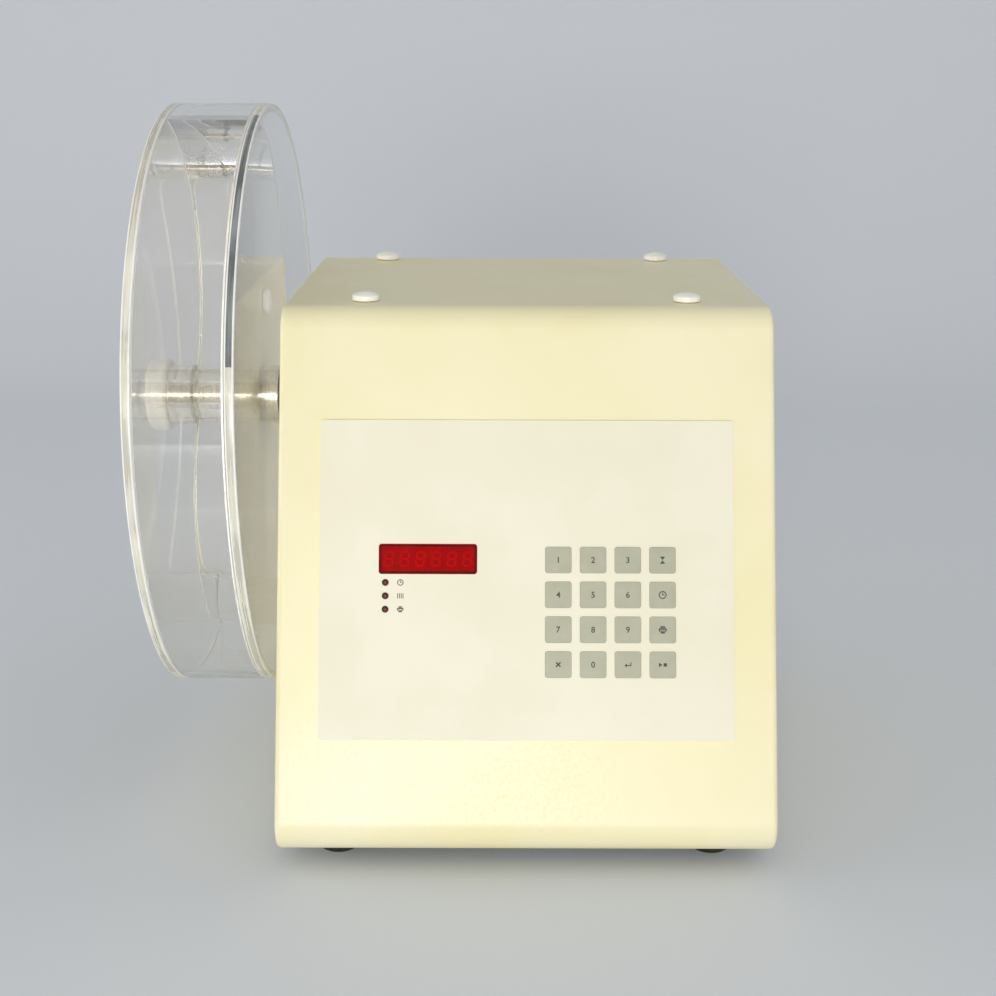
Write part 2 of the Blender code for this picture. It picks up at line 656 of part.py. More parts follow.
def make_front():
    overlay_centre = (HOUSING_WIDTH / 2, -OVERLAY_DROP - OVERLAY_HEIGHT / 2)
    outlines = [rectangle(OVERLAY_WIDTH, OVERLAY_HEIGHT, OVERLAY_CORNER, overlay_centre),
                rectangle(DISPLAY_WIDTH + 2 * SEAT_GAP, DISPLAY_HEIGHT + 2 * SEAT_GAP,
                          DISPLAY_CORNER, display_centre)]
    key_window = KEY_SIZE + 2 * SEAT_GAP
    outlines += [rectangle(key_window, key_window, KEY_CORNER, place) for row, column, place in key_places()]
    outlines += [circle(LED_RADIUS + SEAT_GAP, place, PLUG_STEPS) for place in led_places()]
    flat("front_overlay", outlines, OVERLAY_THICKNESS, overlay_film, parent=front_face,
         place=(0, 0, SEAT_GAP + OVERLAY_THICKNESS / 2))

    flat("display_window", [rectangle(DISPLAY_WIDTH, DISPLAY_HEIGHT, DISPLAY_CORNER)], WINDOW_THICKNESS,
         red_acrylic, parent=front_face, place=(*display_centre, overlay_top - WINDOW_THICKNESS / 2))

    board_front = -BOARD_DEPTH
    module_high = overlay_top - WINDOW_THICKNESS - SEAT_GAP
    module_low = board_front + SEAT_GAP
    module_width = DISPLAY_WIDTH - MODULE_MARGIN
    module_height = DISPLAY_HEIGHT - MODULE_MARGIN
    module = box("display_module", (module_width, module_height, module_high - module_low), black_plastic,
                 parent=front_face, place=(*display_centre, (module_high + module_low) / 2))
    wells = []
    for index in range(DIGIT_COUNT):
        x = display_centre[0] + (index - (DIGIT_COUNT - 1) / 2) * DIGIT_PITCH
        wells.append(box("digit_well_%d" % (index + 1), (DIGIT_WIDTH, DIGIT_HEIGHT, 2 * DIGIT_RECESS),
                         collection=cutters, parent=front_face, place=(x, display_centre[1], module_high)))
    combine(module, wells)

    led_top = overlay_top + LED_PROUD
    led_length = led_top - board_front - SEAT_GAP
    shoulder = led_top - LED_RADIUS
    dome = [(LED_RADIUS * math.sin(math.pi / 2 * step / CORNER_STEPS),
             shoulder + LED_RADIUS * math.cos(math.pi / 2 * step / CORNER_STEPS))
            for step in range(CORNER_STEPS + 1)]
    for index, (x, y) in enumerate(led_places()):
        smooth_round(turned("status_led_%d" % (index + 1),
                            dome + [(LED_RADIUS, led_top - led_length), (0, led_top - led_length)],
                            dark_red_lens, steps=PLUG_STEPS, parent=front_face, place=(x, y, 0)))

    key_high = overlay_top + KEY_PROUD
    key_low = board_front + SEAT_GAP + KEY_TRAVEL
    for row, column, (x, y) in key_places():
        flat(key_names[row][column], [rectangle(KEY_SIZE, KEY_SIZE, KEY_CORNER)], key_high - key_low,
             grey_key, parent=front_face, place=(x, y, (key_high + key_low) / 2))

    flat("control_board", [rectangle(board_width, board_height, BOARD_CORNER)], BOARD_THICKNESS, board_green,
         parent=front_face, place=(board_centre_x, -board_centre_drop, board_front - BOARD_THICKNESS / 2))


# Drum

def on_axis(x=0.0):
    return (x, axis_y, axis_z)


def ring_outline(inner, outer, left, right):
    return [(inner, right), (outer, right), (outer, left), (inner, left)]


def make_drum():
    bore = SHAFT_RADIUS + RUNNING_GAP
    rim_left = cover_disc_right + SEAT_GAP
    rim_right = back_disc_left - SEAT_GAP
    where = {"place": on_axis(), "turn": ALONG_SHAFT}
    collar = [(COLLAR_RADIUS, cover_disc_left), (COLLAR_RADIUS, collar_left), (bore, collar_left)]
    cover_outline = ring_outline(bore, drum_outer_radius, cover_disc_left, cover_disc_right)[:-1] + collar
    for name, outline in (
            ("drum_rim", ring_outline(DRUM_BORE_RADIUS, drum_outer_radius, rim_left, rim_right)),
            ("drum_back_disc", ring_outline(bore, drum_outer_radius, back_disc_left, back_disc_right)),
            ("drum_cover_disc", cover_outline)):
        smooth_round(turned(name, outline, clear_acrylic, DRUM_STEPS, ring=True, **where))

    ring_radius = SHAFT_RADIUS + RUNNING_GAP + RING_SECTION_RADIUS
    groove_radius = ring_radius + RING_SECTION_RADIUS + SEAT_GAP
    groove_middle = back_disc_left - RING_FROM_BACK_DISC
    groove_half = RING_SECTION_RADIUS + SEAT_GAP
    hub_outline = [(bore, rim_right), (HUB_RADIUS, rim_right), (HUB_RADIUS, rim_left), (bore, rim_left),
                   (bore, groove_middle - groove_half), (groove_radius, groove_middle - groove_half),
                   (groove_radius, groove_middle + groove_half), (bore, groove_middle + groove_half)]
    smooth_round(turned("drum_hub", hub_outline, clear_acrylic, HUB_STEPS, ring=True, **where))
    section = [(ring_radius + RING_SECTION_RADIUS * math.sin(2 * math.pi * step / RING_SECTION_STEPS),
                groove_middle + RING_SECTION_RADIUS * math.cos(2 * math.pi * step / RING_SECTION_STEPS))
               for step in range(RING_SECTION_STEPS)]
    smooth_round(turned("hub_o_ring", section, black_rubber, SHAFT_STEPS, ring=True, **where))

    for name, turn in (("baffle_upper", SIDEWAYS), ("baffle_lower", SIDEWAYS_HALF_TURN)):
        flat(name, [baffle_outline()], rim_right - rim_left, clear_acrylic,
             place=on_axis((rim_left + rim_right) / 2), turn=turn)


def baffle_outline():
    """One arc from the hub to the rim, as (back, up) from the drum's axis."""
    distance = BAFFLE_RADIUS + BAFFLE_AXIS_OFFSET
    centre_y = distance * math.cos(BAFFLE_CENTRE_ANGLE)
    centre_z = distance * math.sin(BAFFLE_CENTRE_ANGLE)

    def arc(radius, from_radius, to_radius):
        def angle_at(reach):
            share = (reach ** 2 - distance ** 2 - radius ** 2) / (2 * distance * radius)
            return BAFFLE_CENTRE_ANGLE - math.acos(share)
        start = angle_at(from_radius)
        end = angle_at(to_radius)
        return [(centre_y + radius * math.cos(start + (end - start) * step / BAFFLE_STEPS),
                 centre_z + radius * math.sin(start + (end - start) * step / BAFFLE_STEPS))
                for step in range(BAFFLE_STEPS + 1)]

    near_hub = HUB_RADIUS + SEAT_GAP
    near_rim = DRUM_BORE_RADIUS * math.cos(math.pi / DRUM_STEPS) - SEAT_GAP
    inner = arc(BAFFLE_RADIUS, near_hub, near_rim)
    outer = arc(BAFFLE_RADIUS + BAFFLE_THICKNESS, near_hub, near_rim)
    return inner + outer[::-1]


def make_shaft_and_knob():
    tip = knob_right - KNOB_BORE_DEPTH + SEAT_GAP
    chamfer = SHAFT_UNDERCUT
    undercut_left = cover_disc_right + SHAFT_UNDERCUT_FROM_COVER
    undercut_right = undercut_left + SHAFT_UNDERCUT_WIDTH
    shoulder_left = back_disc_right + SEAT_GAP
    shoulder_right = shoulder_left + SHOULDER_THICKNESS
    tail_left = spindle_right - SHAFT_TAIL_LENGTH
    tail = [(0, spindle_right), (SHAFT_TAIL_RADIUS, spindle_right), (SHAFT_TAIL_RADIUS, tail_left)]
    journal = [(JOURNAL_RADIUS, tail_left), (JOURNAL_RADIUS, shoulder_right)]
    shoulder = [(SHOULDER_RADIUS, shoulder_right), (SHOULDER_RADIUS, shoulder_left)]
    undercut = [(SHAFT_RADIUS, undercut_right), (SHAFT_RADIUS - SHAFT_UNDERCUT, undercut_right),
                (SHAFT_RADIUS - SHAFT_UNDERCUT, undercut_left), (SHAFT_RADIUS, undercut_left)]
    end = [(SHAFT_RADIUS, tip + chamfer), (SHAFT_RADIUS - chamfer, tip), (0, tip)]
    outline = tail + journal + shoulder + [(SHAFT_RADIUS, shoulder_left)] + undercut + end
    smooth_round(turned("drive_spindle", outline, bright_steel, place=on_axis(), turn=ALONG_SHAFT))

    bore = SHAFT_RADIUS + RUNNING_GAP
    bore_end = knob_right - KNOB_BORE_DEPTH
    outline = [(bore, knob_right), (KNOB_RADIUS - KNOB_EDGE, knob_right),
               (KNOB_RADIUS, knob_right - KNOB_EDGE), (KNOB_RADIUS, knob_left + KNOB_EDGE),
               (KNOB_RADIUS - KNOB_EDGE, knob_left), (0, knob_left)]
    knob = turned("clamp_knob", outline + [(0, bore_end), (bore, bore_end)], white_nylon, KNOB_STEPS,
                  place=on_axis(), turn=ALONG_SHAFT)
    close_profile(knob)
    smooth_round(knob)


def close_profile(thing):
    """Closes a blind bore's outline from its last point to its first, away from the axis."""
    bm = bmesh.new()
    bm.from_mesh(thing.data)
    bm.verts.ensure_lookup_table()
    axis_points = [vert for vert in bm.verts if vert.co.x < MERGE_DISTANCE]
    for edge in list(bm.edges):
        if all(vert in axis_points for vert in edge.verts):
            bm.edges.remove(edge)
    bm.edges.new((bm.verts[-1], bm.verts[0]))
    bm.to_mesh(thing.data)
    bm.free()


# Drive train

def make_bearings():
    where = {"place": on_axis(), "turn": ALONG_SHAFT}
    pocket = BEARING_RADIUS + SEAT_GAP
    throat = BEARING_RADIUS - BEARING_LIP
    left = bearing_flange_left
    right = bearing_body_right
    pocket_depth = BEARING_WIDTH + SEAT_GAP
    outline = [(pocket, right), (BEARING_BODY_RADIUS, right),
               (BEARING_BODY_RADIUS, left + BEARING_FLANGE_THICKNESS),
               (BEARING_FLANGE_RADIUS, left + BEARING_FLANGE_THICKNESS), (BEARING_FLANGE_RADIUS, left),
               (pocket, left), (pocket, left + pocket_depth), (throat, left + pocket_depth),
               (throat, right - pocket_depth), (pocket, right - pocket_depth)]
    smooth_round(turned("bearing_housing", outline, machined_aluminium, SHAFT_STEPS, ring=True, **where))
    bore = JOURNAL_RADIUS + RUNNING_GAP
    for name, start in (("drum_side_bearing", left), ("motor_side_bearing", right - BEARING_WIDTH)):
        smooth_round(turned(name, ring_outline(bore, BEARING_RADIUS, start, start + BEARING_WIDTH),
                            bright_steel, SHAFT_STEPS, ring=True, **where))


def make_bracket():
    low = base_top_z + SEAT_GAP
    high = axis_z + BRACKET_ABOVE_AXIS
    wall = BRACKET_THICKNESS
    outline = [(bracket_left, low), (bracket_right, low), (bracket_right, high), (bracket_right - wall, high),
               (bracket_right - wall, low + wall), (bracket_left + wall, low + wall),
               (bracket_left + wall, high), (bracket_left, high)]
    bracket = as_mesh(flat("drive_bracket", [outline], BRACKET_DEPTH, place=(0, axis_y, 0), turn=UPRIGHT))
    bracket.data.materials.append(zinc_steel)
    depth = wall + 2 * CUT_OVERRUN
    bearing_hole = cylinder_cutter("bearing_hole", BEARING_BODY_RADIUS + SEAT_GAP, depth, turn=ALONG_SHAFT,
                                   place=on_axis(bracket_left + wall / 2))
    pilot_hole = cylinder_cutter("pilot_hole", GEARBOX_PILOT_RADIUS + SEAT_GAP, depth, turn=ALONG_SHAFT,
                                 place=on_axis(bracket_right - wall / 2))
    combine(bracket, [bearing_hole, pilot_hole])


def make_motor():
    where = {"place": on_axis(), "turn": ALONG_SHAFT}
    bore = MOTOR_SHAFT_RADIUS + RUNNING_GAP
    edge = COUPLING_EDGE
    outline = [(bore, coupling_right), (COUPLING_RADIUS - edge, coupling_right),
               (COUPLING_RADIUS, coupling_right - edge), (COUPLING_RADIUS, coupling_left + edge),
               (COUPLING_RADIUS - edge, coupling_left), (bore, coupling_left)]
    smooth_round(turned("shaft_coupling", outline, machined_aluminium, ring=True, **where))

    shaft_right = bracket_right - BRACKET_THICKNESS + MOTOR_SHAFT_SEAT
    outline = [(0, shaft_right), (MOTOR_SHAFT_RADIUS, shaft_right), (MOTOR_SHAFT_RADIUS, motor_shaft_left),
               (0, motor_shaft_left)]
    smooth_round(turned("motor_output_shaft", outline, bright_steel, **where))

    pilot_left = bracket_right - BRACKET_THICKNESS
    bore_end = shaft_right + SEAT_GAP
    edge = GEARBOX_EDGE
    outline = [(bore, pilot_left), (bore, bore_end), (0, bore_end), (0, gearbox_right),
               (GEARBOX_RADIUS - edge, gearbox_right), (GEARBOX_RADIUS, gearbox_right - edge),
               (GEARBOX_RADIUS, gearbox_left), (GEARBOX_PILOT_RADIUS, gearbox_left),
               (GEARBOX_PILOT_RADIUS, pilot_left)]
    gearbox = turned("gearbox", outline, zinc_steel, **where)
    close_profile(gearbox)
    smooth_round(gearbox)

    motor_left = gearbox_right + SEAT_GAP
    motor_right = motor_left + MOTOR_LENGTH
    edge = MOTOR_EDGE
    outline = [(0, motor_right), (MOTOR_RADIUS - edge, motor_right), (MOTOR_RADIUS, motor_right - edge),
               (MOTOR_RADIUS, motor_left + edge), (MOTOR_RADIUS - edge, motor_left), (0, motor_left)]
    smooth_round(turned("drive_motor", outline, machined_aluminium, **where))


def make_counter():
    right = count_disc_left + COUNT_DISC_THICKNESS
    disc = turned("count_disc", ring_outline(MOTOR_SHAFT_RADIUS + RUNNING_GAP, COUNT_DISC_RADIUS,
                                             count_disc_left, right),
                  black_plastic, ring=True, place=on_axis(), turn=ALONG_SHAFT)
    slot = box("count_slot", (COUNT_DISC_THICKNESS + 2 * CUT_OVERRUN, COUNT_DISC_SLOT_WIDTH,
                              2 * COUNT_DISC_SLOT_DEPTH), collection=cutters,
               place=(count_disc_left + COUNT_DISC_THICKNESS / 2, axis_y, axis_z - COUNT_DISC_RADIUS))
    combine(disc, [slot])

    slot_middle = count_disc_left + COUNT_DISC_THICKNESS / 2
    sensor_left = slot_middle - SENSOR_SLOT / 2 - SENSOR_ARM
    sensor_right = bracket_right - BRACKET_THICKNESS - SEAT_GAP
    slot_left = slot_middle - SENSOR_SLOT / 2
    slot_right = slot_middle + SENSOR_SLOT / 2
    bridge = axis_z + SENSOR_HIGH - SENSOR_BRIDGE
    low = axis_z + SENSOR_LOW
    high = axis_z + SENSOR_HIGH
    outline = [(sensor_left, low), (slot_left, low), (slot_left, bridge), (slot_right, bridge),
               (slot_right, low), (sensor_right, low), (sensor_right, high), (sensor_left, high)]
    flat("count_sensor", [outline], SENSOR_WIDTH, black_plastic, place=(0, axis_y, 0), turn=UPRIGHT)


def make_transformer():
    free_width = right_x - HOUSING_WALL - bracket_right
    x = bracket_right + TRANSFORMER_PLACE_SHARE * free_width
    y = back_y - TRANSFORMER_FROM_BACK
    z = base_top_z + SEAT_GAP + CORE_HEIGHT / 2
    core = box("mains_transformer", (CORE_WIDTH, CORE_DEPTH, CORE_HEIGHT), core_steel, place=(x, y, z))
    coil = box("transformer_coil", (COIL_WIDTH, COIL_DEPTH, COIL_HEIGHT), collection=cutters, place=(x, y, z))
    combine(core, [coil], "UNION")


# Rear connections. Local Z points out of the rear panel.

def rear_frame(name, from_right, up):
    frame = bpy.data.objects.new(name, None)
    pieces.objects.link(frame)
    frame.location = (right_x - from_right, back_y, bottom_z + up)
    frame.rotation_euler = (math.pi / 2, 0.0, math.pi)
    return frame


def make_inlet():
    frame = rear_frame("inlet_place", INLET_FROM_RIGHT, INLET_UP)
    flange_low = SEAT_GAP
    flange_high = flange_low + INLET_FLANGE_THICKNESS
    inlet = as_mesh(flat("power_inlet", [rectangle(INLET_FLANGE_WIDTH, INLET_FLANGE_HEIGHT, INLET_CORNER)],
                         INLET_FLANGE_THICKNESS, parent=frame, place=(0, 0, (flange_low + flange_high) / 2)))
    inlet.data.materials.append(black_plastic)
    body_low = flange_high - INLET_BODY_DEPTH
    body_high = (flange_low + flange_high) / 2
    body = box("inlet_body", (INLET_WIDTH, INLET_HEIGHT, body_high - body_low), collection=cutters,
               parent=frame, place=(0, 0, (body_high + body_low) / 2))
    recess_low = flange_high - INLET_RECESS_DEPTH
    recess_high = flange_high + CUT_OVERRUN
    recess = box("inlet_recess", (INLET_RECESS_WIDTH, INLET_RECESS_HEIGHT, recess_high - recess_low),
                 collection=cutters, parent=frame, place=(0, 0, (recess_high + recess_low) / 2))
    pin_root = (body_low + recess_low) / 2
    pin_length = INLET_PIN_LENGTH + recess_low - pin_root
    pins = []
    for pin, x, y in (("line", -INLET_PIN_PITCH, INLET_PIN_RISE), ("earth", 0, 2 * INLET_PIN_RISE),
                      ("neutral", INLET_PIN_PITCH, INLET_PIN_RISE)):
        pins.append(box(pin + "_pin", (INLET_PIN_WIDTH, INLET_PIN_HEIGHT, pin_length), collection=cutters,
                        parent=frame, place=(x, y, pin_root + pin_length / 2)))
    combine(inlet, [body], "UNION")
    combine(inlet, [recess])
    combine(inlet, pins, "UNION")


def make_switch():
    frame = rear_frame("switch_place", SWITCH_FROM_RIGHT, SWITCH_UP)
    flange_low = SEAT_GAP
    flange_high = flange_low + SWITCH_FLANGE_THICKNESS
    switch = box("switch_frame", (SWITCH_FLANGE_WIDTH, SWITCH_FLANGE_HEIGHT, SWITCH_FLANGE_THICKNESS),
                 black_plastic, parent=frame, place=(0, 0, (flange_low + flange_high) / 2))
    body_low = flange_high - SWITCH_BODY_DEPTH
    body_high = (flange_low + flange_high) / 2
    body = box("switch_body", (SWITCH_WIDTH, SWITCH_HEIGHT, body_high - body_low), collection=cutters,
               parent=frame, place=(0, 0, (body_high + body_low) / 2))
    pocket_low = flange_high - SWITCH_POCKET_DEPTH
    pocket_high = flange_high + CUT_OVERRUN
    pocket = box("switch_pocket", (SWITCH_POCKET_WIDTH, SWITCH_POCKET_HEIGHT, pocket_high - pocket_low),
                 collection=cutters, parent=frame, place=(0, 0, (pocket_high + pocket_low) / 2))
    combine(switch, [body], "UNION")
    combine(switch, [pocket])

    pivot = flange_high - ROCKER_PIVOT_DEPTH
    half = ROCKER_HALF_HEIGHT
    root_steps = 2 * CORNER_STEPS
    root = [(ROCKER_ROOT * math.cos(math.pi + math.pi * step / root_steps),
             ROCKER_ROOT * math.sin(math.pi + math.pi * step / root_steps)) for step in range(root_steps + 1)]
    face_angle = ROCKER_TILT
    dip = ROCKER_RISE - half * math.tan(face_angle)
    outline = root + [(half, 0), (half, ROCKER_RISE), (0, dip), (-half, ROCKER_RISE), (-half, 0)]
    hinge = bpy.data.objects.new("rocker_hinge", None)
    pieces.objects.link(hinge)
    hinge.parent = frame
    hinge.location = (0, 0, pivot)
    hinge.rotation_euler = (ROCKER_TILT, 0, 0)
    flat("power_rocker", [outline], SWITCH_POCKET_WIDTH - 2 * SEAT_GAP, black_plastic, parent=hinge,
         turn=(math.pi / 2, 0.0, math.pi / 2))


def make_port():
    frame = rear_frame("port_place", PORT_FROM_RIGHT, PORT_UP)
    flange_low = SEAT_GAP
    flange_high = flange_low + PORT_FLANGE_THICKNESS
    port = box("printer_port", (PORT_FLANGE_WIDTH, PORT_FLANGE_HEIGHT, PORT_FLANGE_THICKNESS), bright_steel,
               parent=frame, place=(0, 0, (flange_low + flange_high) / 2))
    body_high = (flange_low + flange_high) / 2
    body_low = flange_high - PORT_BODY_DEPTH
    body = box("port_body", (PORT_WIDTH, PORT_HEIGHT, body_high - body_low), collection=cutters, parent=frame,
               place=(0, 0, (body_high + body_low) / 2))
    half = PORT_SHELL_WIDTH / 2
    high = PORT_SHELL_HEIGHT / 2
    corner = PORT_TAPER
    outline = rounded_outline([(-half + PORT_TAPER, -high, corner), (half - PORT_TAPER, -high, corner),
                               (half, high, corner), (-half, high, corner)])
    shell_low = body_high
    shell_high = flange_high + PORT_SHELL_LENGTH
    shell = as_mesh(flat("port_shell", [outline], shell_high - shell_low, collection=cutters, parent=frame,
                         place=(0, 0, (shell_low + shell_high) / 2)))
    combine(port, [body, shell], "UNION")


clear_scene()
pieces = new_collection("tablet_friability_tester")
cutters = new_collection("cutters")

cream_enamel = finish("cream_enamel", (0.88, 0.82, 0.62), 0.45)
overlay_film = finish("overlay_film", (0.86, 0.84, 0.74), 0.40)
grey_key = finish("grey_key", (0.46, 0.45, 0.38), 0.50)
red_acrylic = finish("red_acrylic", (0.45, 0.01, 0.01), 0.12)
dark_red_lens = finish("dark_red_lens", (0.10, 0.02, 0.01), 0.25)
clear_acrylic = finish("clear_acrylic", (0.90, 0.93, 0.95), 0.05, alpha=0.3)
white_nylon = finish("white_nylon", (0.85, 0.84, 0.80), 0.45)
black_rubber = finish("black_rubber", (0.02, 0.02, 0.02), 0.80)
black_plastic = finish("black_plastic", (0.03, 0.03, 0.03), 0.45)
bright_steel = finish("bright_steel", (0.62, 0.60, 0.56), 0.25, metallic=1.0)
machined_aluminium = finish("machined_aluminium", (0.70, 0.71, 0.72), 0.35, metallic=1.0)
zinc_steel = finish("zinc_steel", (0.55, 0.56, 0.58), 0.40, metallic=1.0)
core_steel = finish("core_steel", (0.20, 0.19, 0.18), 0.55, metallic=0.6)
board_green = finish("board_green", (0.03, 0.18, 0.07), 0.50)

key_names = [["key_1", "key_2", "key_3", "key_time_count"],
             ["key_4", "key_5", "key_6", "key_clock"],
             ["key_7", "key_8", "key_9", "key_print"],
             ["key_clear", "key_0", "key_enter", "key_start_stop"]]

front_face = bpy.data.objects.new("front_face", None)
pieces.objects.link(front_face)
front_face.location = (wall_x, top_front_y, top_z)
front_face.rotation_euler = (math.pi / 2 - lean, 0, 0)
bpy.context.view_layer.update()

make_housing_cover()
make_base()
make_rear_panel()
make_plugs()
make_front()
make_drum()
make_shaft_and_knob()
make_bearings()
make_bracket()
make_motor()
make_counter()
make_transformer()
make_inlet()
make_switch()
make_port()
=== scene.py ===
import math

import bmesh
import bpy
from mathutils import Euler, Matrix, Vector


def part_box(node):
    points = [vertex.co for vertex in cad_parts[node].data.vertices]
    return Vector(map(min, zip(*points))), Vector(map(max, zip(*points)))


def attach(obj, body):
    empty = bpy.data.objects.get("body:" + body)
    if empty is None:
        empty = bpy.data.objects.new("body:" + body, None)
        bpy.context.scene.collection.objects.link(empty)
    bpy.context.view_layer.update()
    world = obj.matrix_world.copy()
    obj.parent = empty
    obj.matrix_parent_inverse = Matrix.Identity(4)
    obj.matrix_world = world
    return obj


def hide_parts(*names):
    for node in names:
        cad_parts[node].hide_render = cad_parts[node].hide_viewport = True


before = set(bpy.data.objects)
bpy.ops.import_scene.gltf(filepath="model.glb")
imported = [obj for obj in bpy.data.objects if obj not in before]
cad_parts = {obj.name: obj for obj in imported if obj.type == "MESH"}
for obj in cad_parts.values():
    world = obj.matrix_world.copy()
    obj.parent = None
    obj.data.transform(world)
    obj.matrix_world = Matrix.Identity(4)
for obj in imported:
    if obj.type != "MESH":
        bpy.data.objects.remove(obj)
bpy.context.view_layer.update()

# A tablet friability tester: a sloped housing with a keypad, and a clear drum on a shaft at its left.
# Shapes are worked out in millimetres and made in metres. X is right, Y is back, Z is up.

mm = 0.001


# Working tools

def toLinear(code):  # "#rrggbb" in sRGB to linear light
    channels = [int(code[start:start + 2], 16) / 255 for start in (1, 3, 5)]
    return [c / 12.92 if c <= 0.04045 else ((c + 0.055) / 1.055) ** 2.4 for c in channels] + [1.0]


def feed(node, inputs):  # inputs are values, sockets to link from, or nodes that give their first output
    for key, value in inputs.items():
        if isinstance(value, bpy.types.Node):
            value = value.outputs[0]
        if isinstance(value, bpy.types.NodeSocket):
            node.id_data.links.new(value, node.inputs[key])
        else:
            node.inputs[key].default_value = value


def addNode(tree, kind, inputs=None, **settings):
    node = tree.nodes.new(kind)
    for key, value in settings.items():
        setattr(node, key, value)
    feed(node, inputs or {})
    return node


def at(x, y, z=0.0):
    return Matrix.Translation((x, y, z))


def spin(degrees, axis):
    return Matrix.Rotation(math.radians(degrees), 4, axis)


def tipped(aboutX, aboutZ):  # turned about X first, in degrees
    return Euler((math.radians(aboutX), 0, math.radians(aboutZ))).to_matrix().to_4x4()


def workObject(data):
    thing = bpy.data.objects.new("work", data)
    bpy.context.scene.collection.objects.link(thing)
    return thing


def toMesh(shape):
    mesh = bpy.data.meshes.new("work")
    shape.to_mesh(mesh)
    shape.free()
    return mesh


def toShape(mesh, shape=None):  # adds a mesh to a shape, or makes one of it
    shape = bmesh.new() if shape is None else shape
    shape.from_mesh(mesh)
    bpy.data.meshes.remove(mesh)
    return shape


def evaluated(thing):  # the mesh that an object's modifiers or curve give
    bpy.context.view_layer.update()
    graph = bpy.context.evaluated_depsgraph_get()
    return bpy.data.meshes.new_from_object(thing.evaluated_get(graph))


def finished(thing):  # the same as a shape, and the object goes
    mesh = evaluated(thing)
    bpy.data.objects.remove(thing, do_unlink=True)
    return toShape(mesh)


def joined(*groups):  # one shape of several; each group is a finish's number and its shapes
    whole = bmesh.new()
    for number, shapes in groups:
        for shape in shapes:
            for face in shape.faces:
                face.material_index = number
            toShape(toMesh(shape), whole)
    return whole


def moved(shape, x=0.0, y=0.0, z=0.0):
    bmesh.ops.translate(shape, vec=(x, y, z), verts=shape.verts)
    return shape


def placed(shape, place):
    shape.transform(place)
    return shape


def bevelled(shape, radius, steps=2, angle=50):  # rounds the edges that are sharper than the angle
    edges = [edge for edge in shape.edges if edge.calc_face_angle(0) > math.radians(angle)]
    bmesh.ops.bevel(shape, geom=edges, offset=radius, segments=steps, profile=0.5, affect="EDGES",
                    clamp_overlap=True)
    return shape


def combined(first, others, operation="DIFFERENCE"):
    # cuts each of the others out of the first shape, or joins it; a group of shapes counts as one
    thing = workObject(toMesh(first))
    helpers = [workObject(toMesh(other)) for other in others]
    for helper in helpers:
        step = thing.modifiers.new("step", "BOOLEAN")
        step.operation = operation
        step.solver = "EXACT"
        step.object = helper
    shape = finished(thing)
    for helper in helpers:
        bpy.data.objects.remove(helper, do_unlink=True)
    return shape


def rounded(corners, steps=8):  # an outline from (x, y, radius) corners
    outline = []
    for index, (x, y, radius) in enumerate(corners):
        if radius <= 0:
            outline.append((x, y))
            continue
        corner = Vector((x, y))
        toLast = (Vector(corners[index - 1][:2]) - corner).normalized()
        toNext = (Vector(corners[(index + 1) % len(corners)][:2]) - corner).normalized()
        half = toLast.angle(toNext) / 2
        centre = corner + (toLast + toNext).normalized() * (radius / math.sin(half))
        start = corner + toLast * (radius / math.tan(half)) - centre
        end = corner + toNext * (radius / math.tan(half)) - centre
        sweep = start.angle_signed(end)
        for step in range(steps + 1):
            turn = -sweep * step / steps
            outline.append((centre.x + start.x * math.cos(turn) - start.y * math.sin(turn),
                            centre.y + start.x * math.sin(turn) + start.y * math.cos(turn)))
    return outline


def rectangle(width, height, corner=0.0, x=0.0, y=0.0, steps=6):
    half, high = width / 2, height / 2
    return rounded([(x - half, y - high, corner), (x + half, y - high, corner),
                    (x + half, y + high, corner), (x - half, y + high, corner)], steps)


def arc(radius, start, end, steps, x=0.0, y=0.0):  # points from one angle to another, in radians
    angles = [start + (end - start) * step / steps for step in range(steps + 1)]
    return [(x + radius * math.cos(angle), y + radius * math.sin(angle)) for angle in angles]


def circle(radius, x=0.0, y=0.0, steps=48):
    return arc(radius, 0, 2 * math.pi, steps, x, y)[:-1]


def plate(outlines, low, high, edge=0.0, edgeSteps=2):
    # a flat shape between two heights: its outer edge first, then its holes
    curve = bpy.data.curves.new("work", "CURVE")
    curve.dimensions = "2D"
    curve.fill_mode = "BOTH"
    curve.extrude = (high - low) / 2
    for outline in outlines:
        spline = curve.splines.new("POLY")
        spline.points.add(len(outline) - 1)
        for point, (x, y) in zip(spline.points, outline):
            point.co = (x, y, 0, 1)
        spline.use_cyclic_u = True
    shape = finished(workObject(curve))
    bmesh.ops.remove_doubles(shape, verts=shape.verts, dist=0.0005)
    bmesh.ops.dissolve_limit(shape, angle_limit=math.radians(0.5), verts=shape.verts, edges=shape.edges)
    moved(shape, z=(high + low) / 2)
    return bevelled(shape, edge, edgeSteps) if edge else shape


def block(width, depth, height, x=0.0, y=0.0, z=0.0, edge=0.0):
    shape = bmesh.new()
    bmesh.ops.create_cube(shape, size=1.0)
    bmesh.ops.scale(shape, vec=(width, depth, height), verts=shape.verts)
    moved(shape, x, y, z)
    return bevelled(shape, edge) if edge else shape


def turned(outline, steps=96, ring=False):
    # turns (radius, height) points about Z; a ring's last point is joined to its first
    shape = bmesh.new()
    rings = [[shape.verts.new((x, y, height)) for x, y in circle(radius, steps=steps if radius > 1e-6 else 1)]
             for radius, height in outline]
    for upper, lower in list(zip(rings, rings[1:])) + ([(rings[-1], rings[0])] if ring else []):
        for step in range(steps):
            corners = [upper[step % len(upper)], upper[(step + 1) % len(upper)],
                       lower[(step + 1) % len(lower)], lower[step % len(lower)]]
            corners = list(dict.fromkeys(corners))
            if len(corners) > 2:
                shape.faces.new(corners)
    bmesh.ops.recalc_face_normals(shape, faces=shape.faces)
    return shape


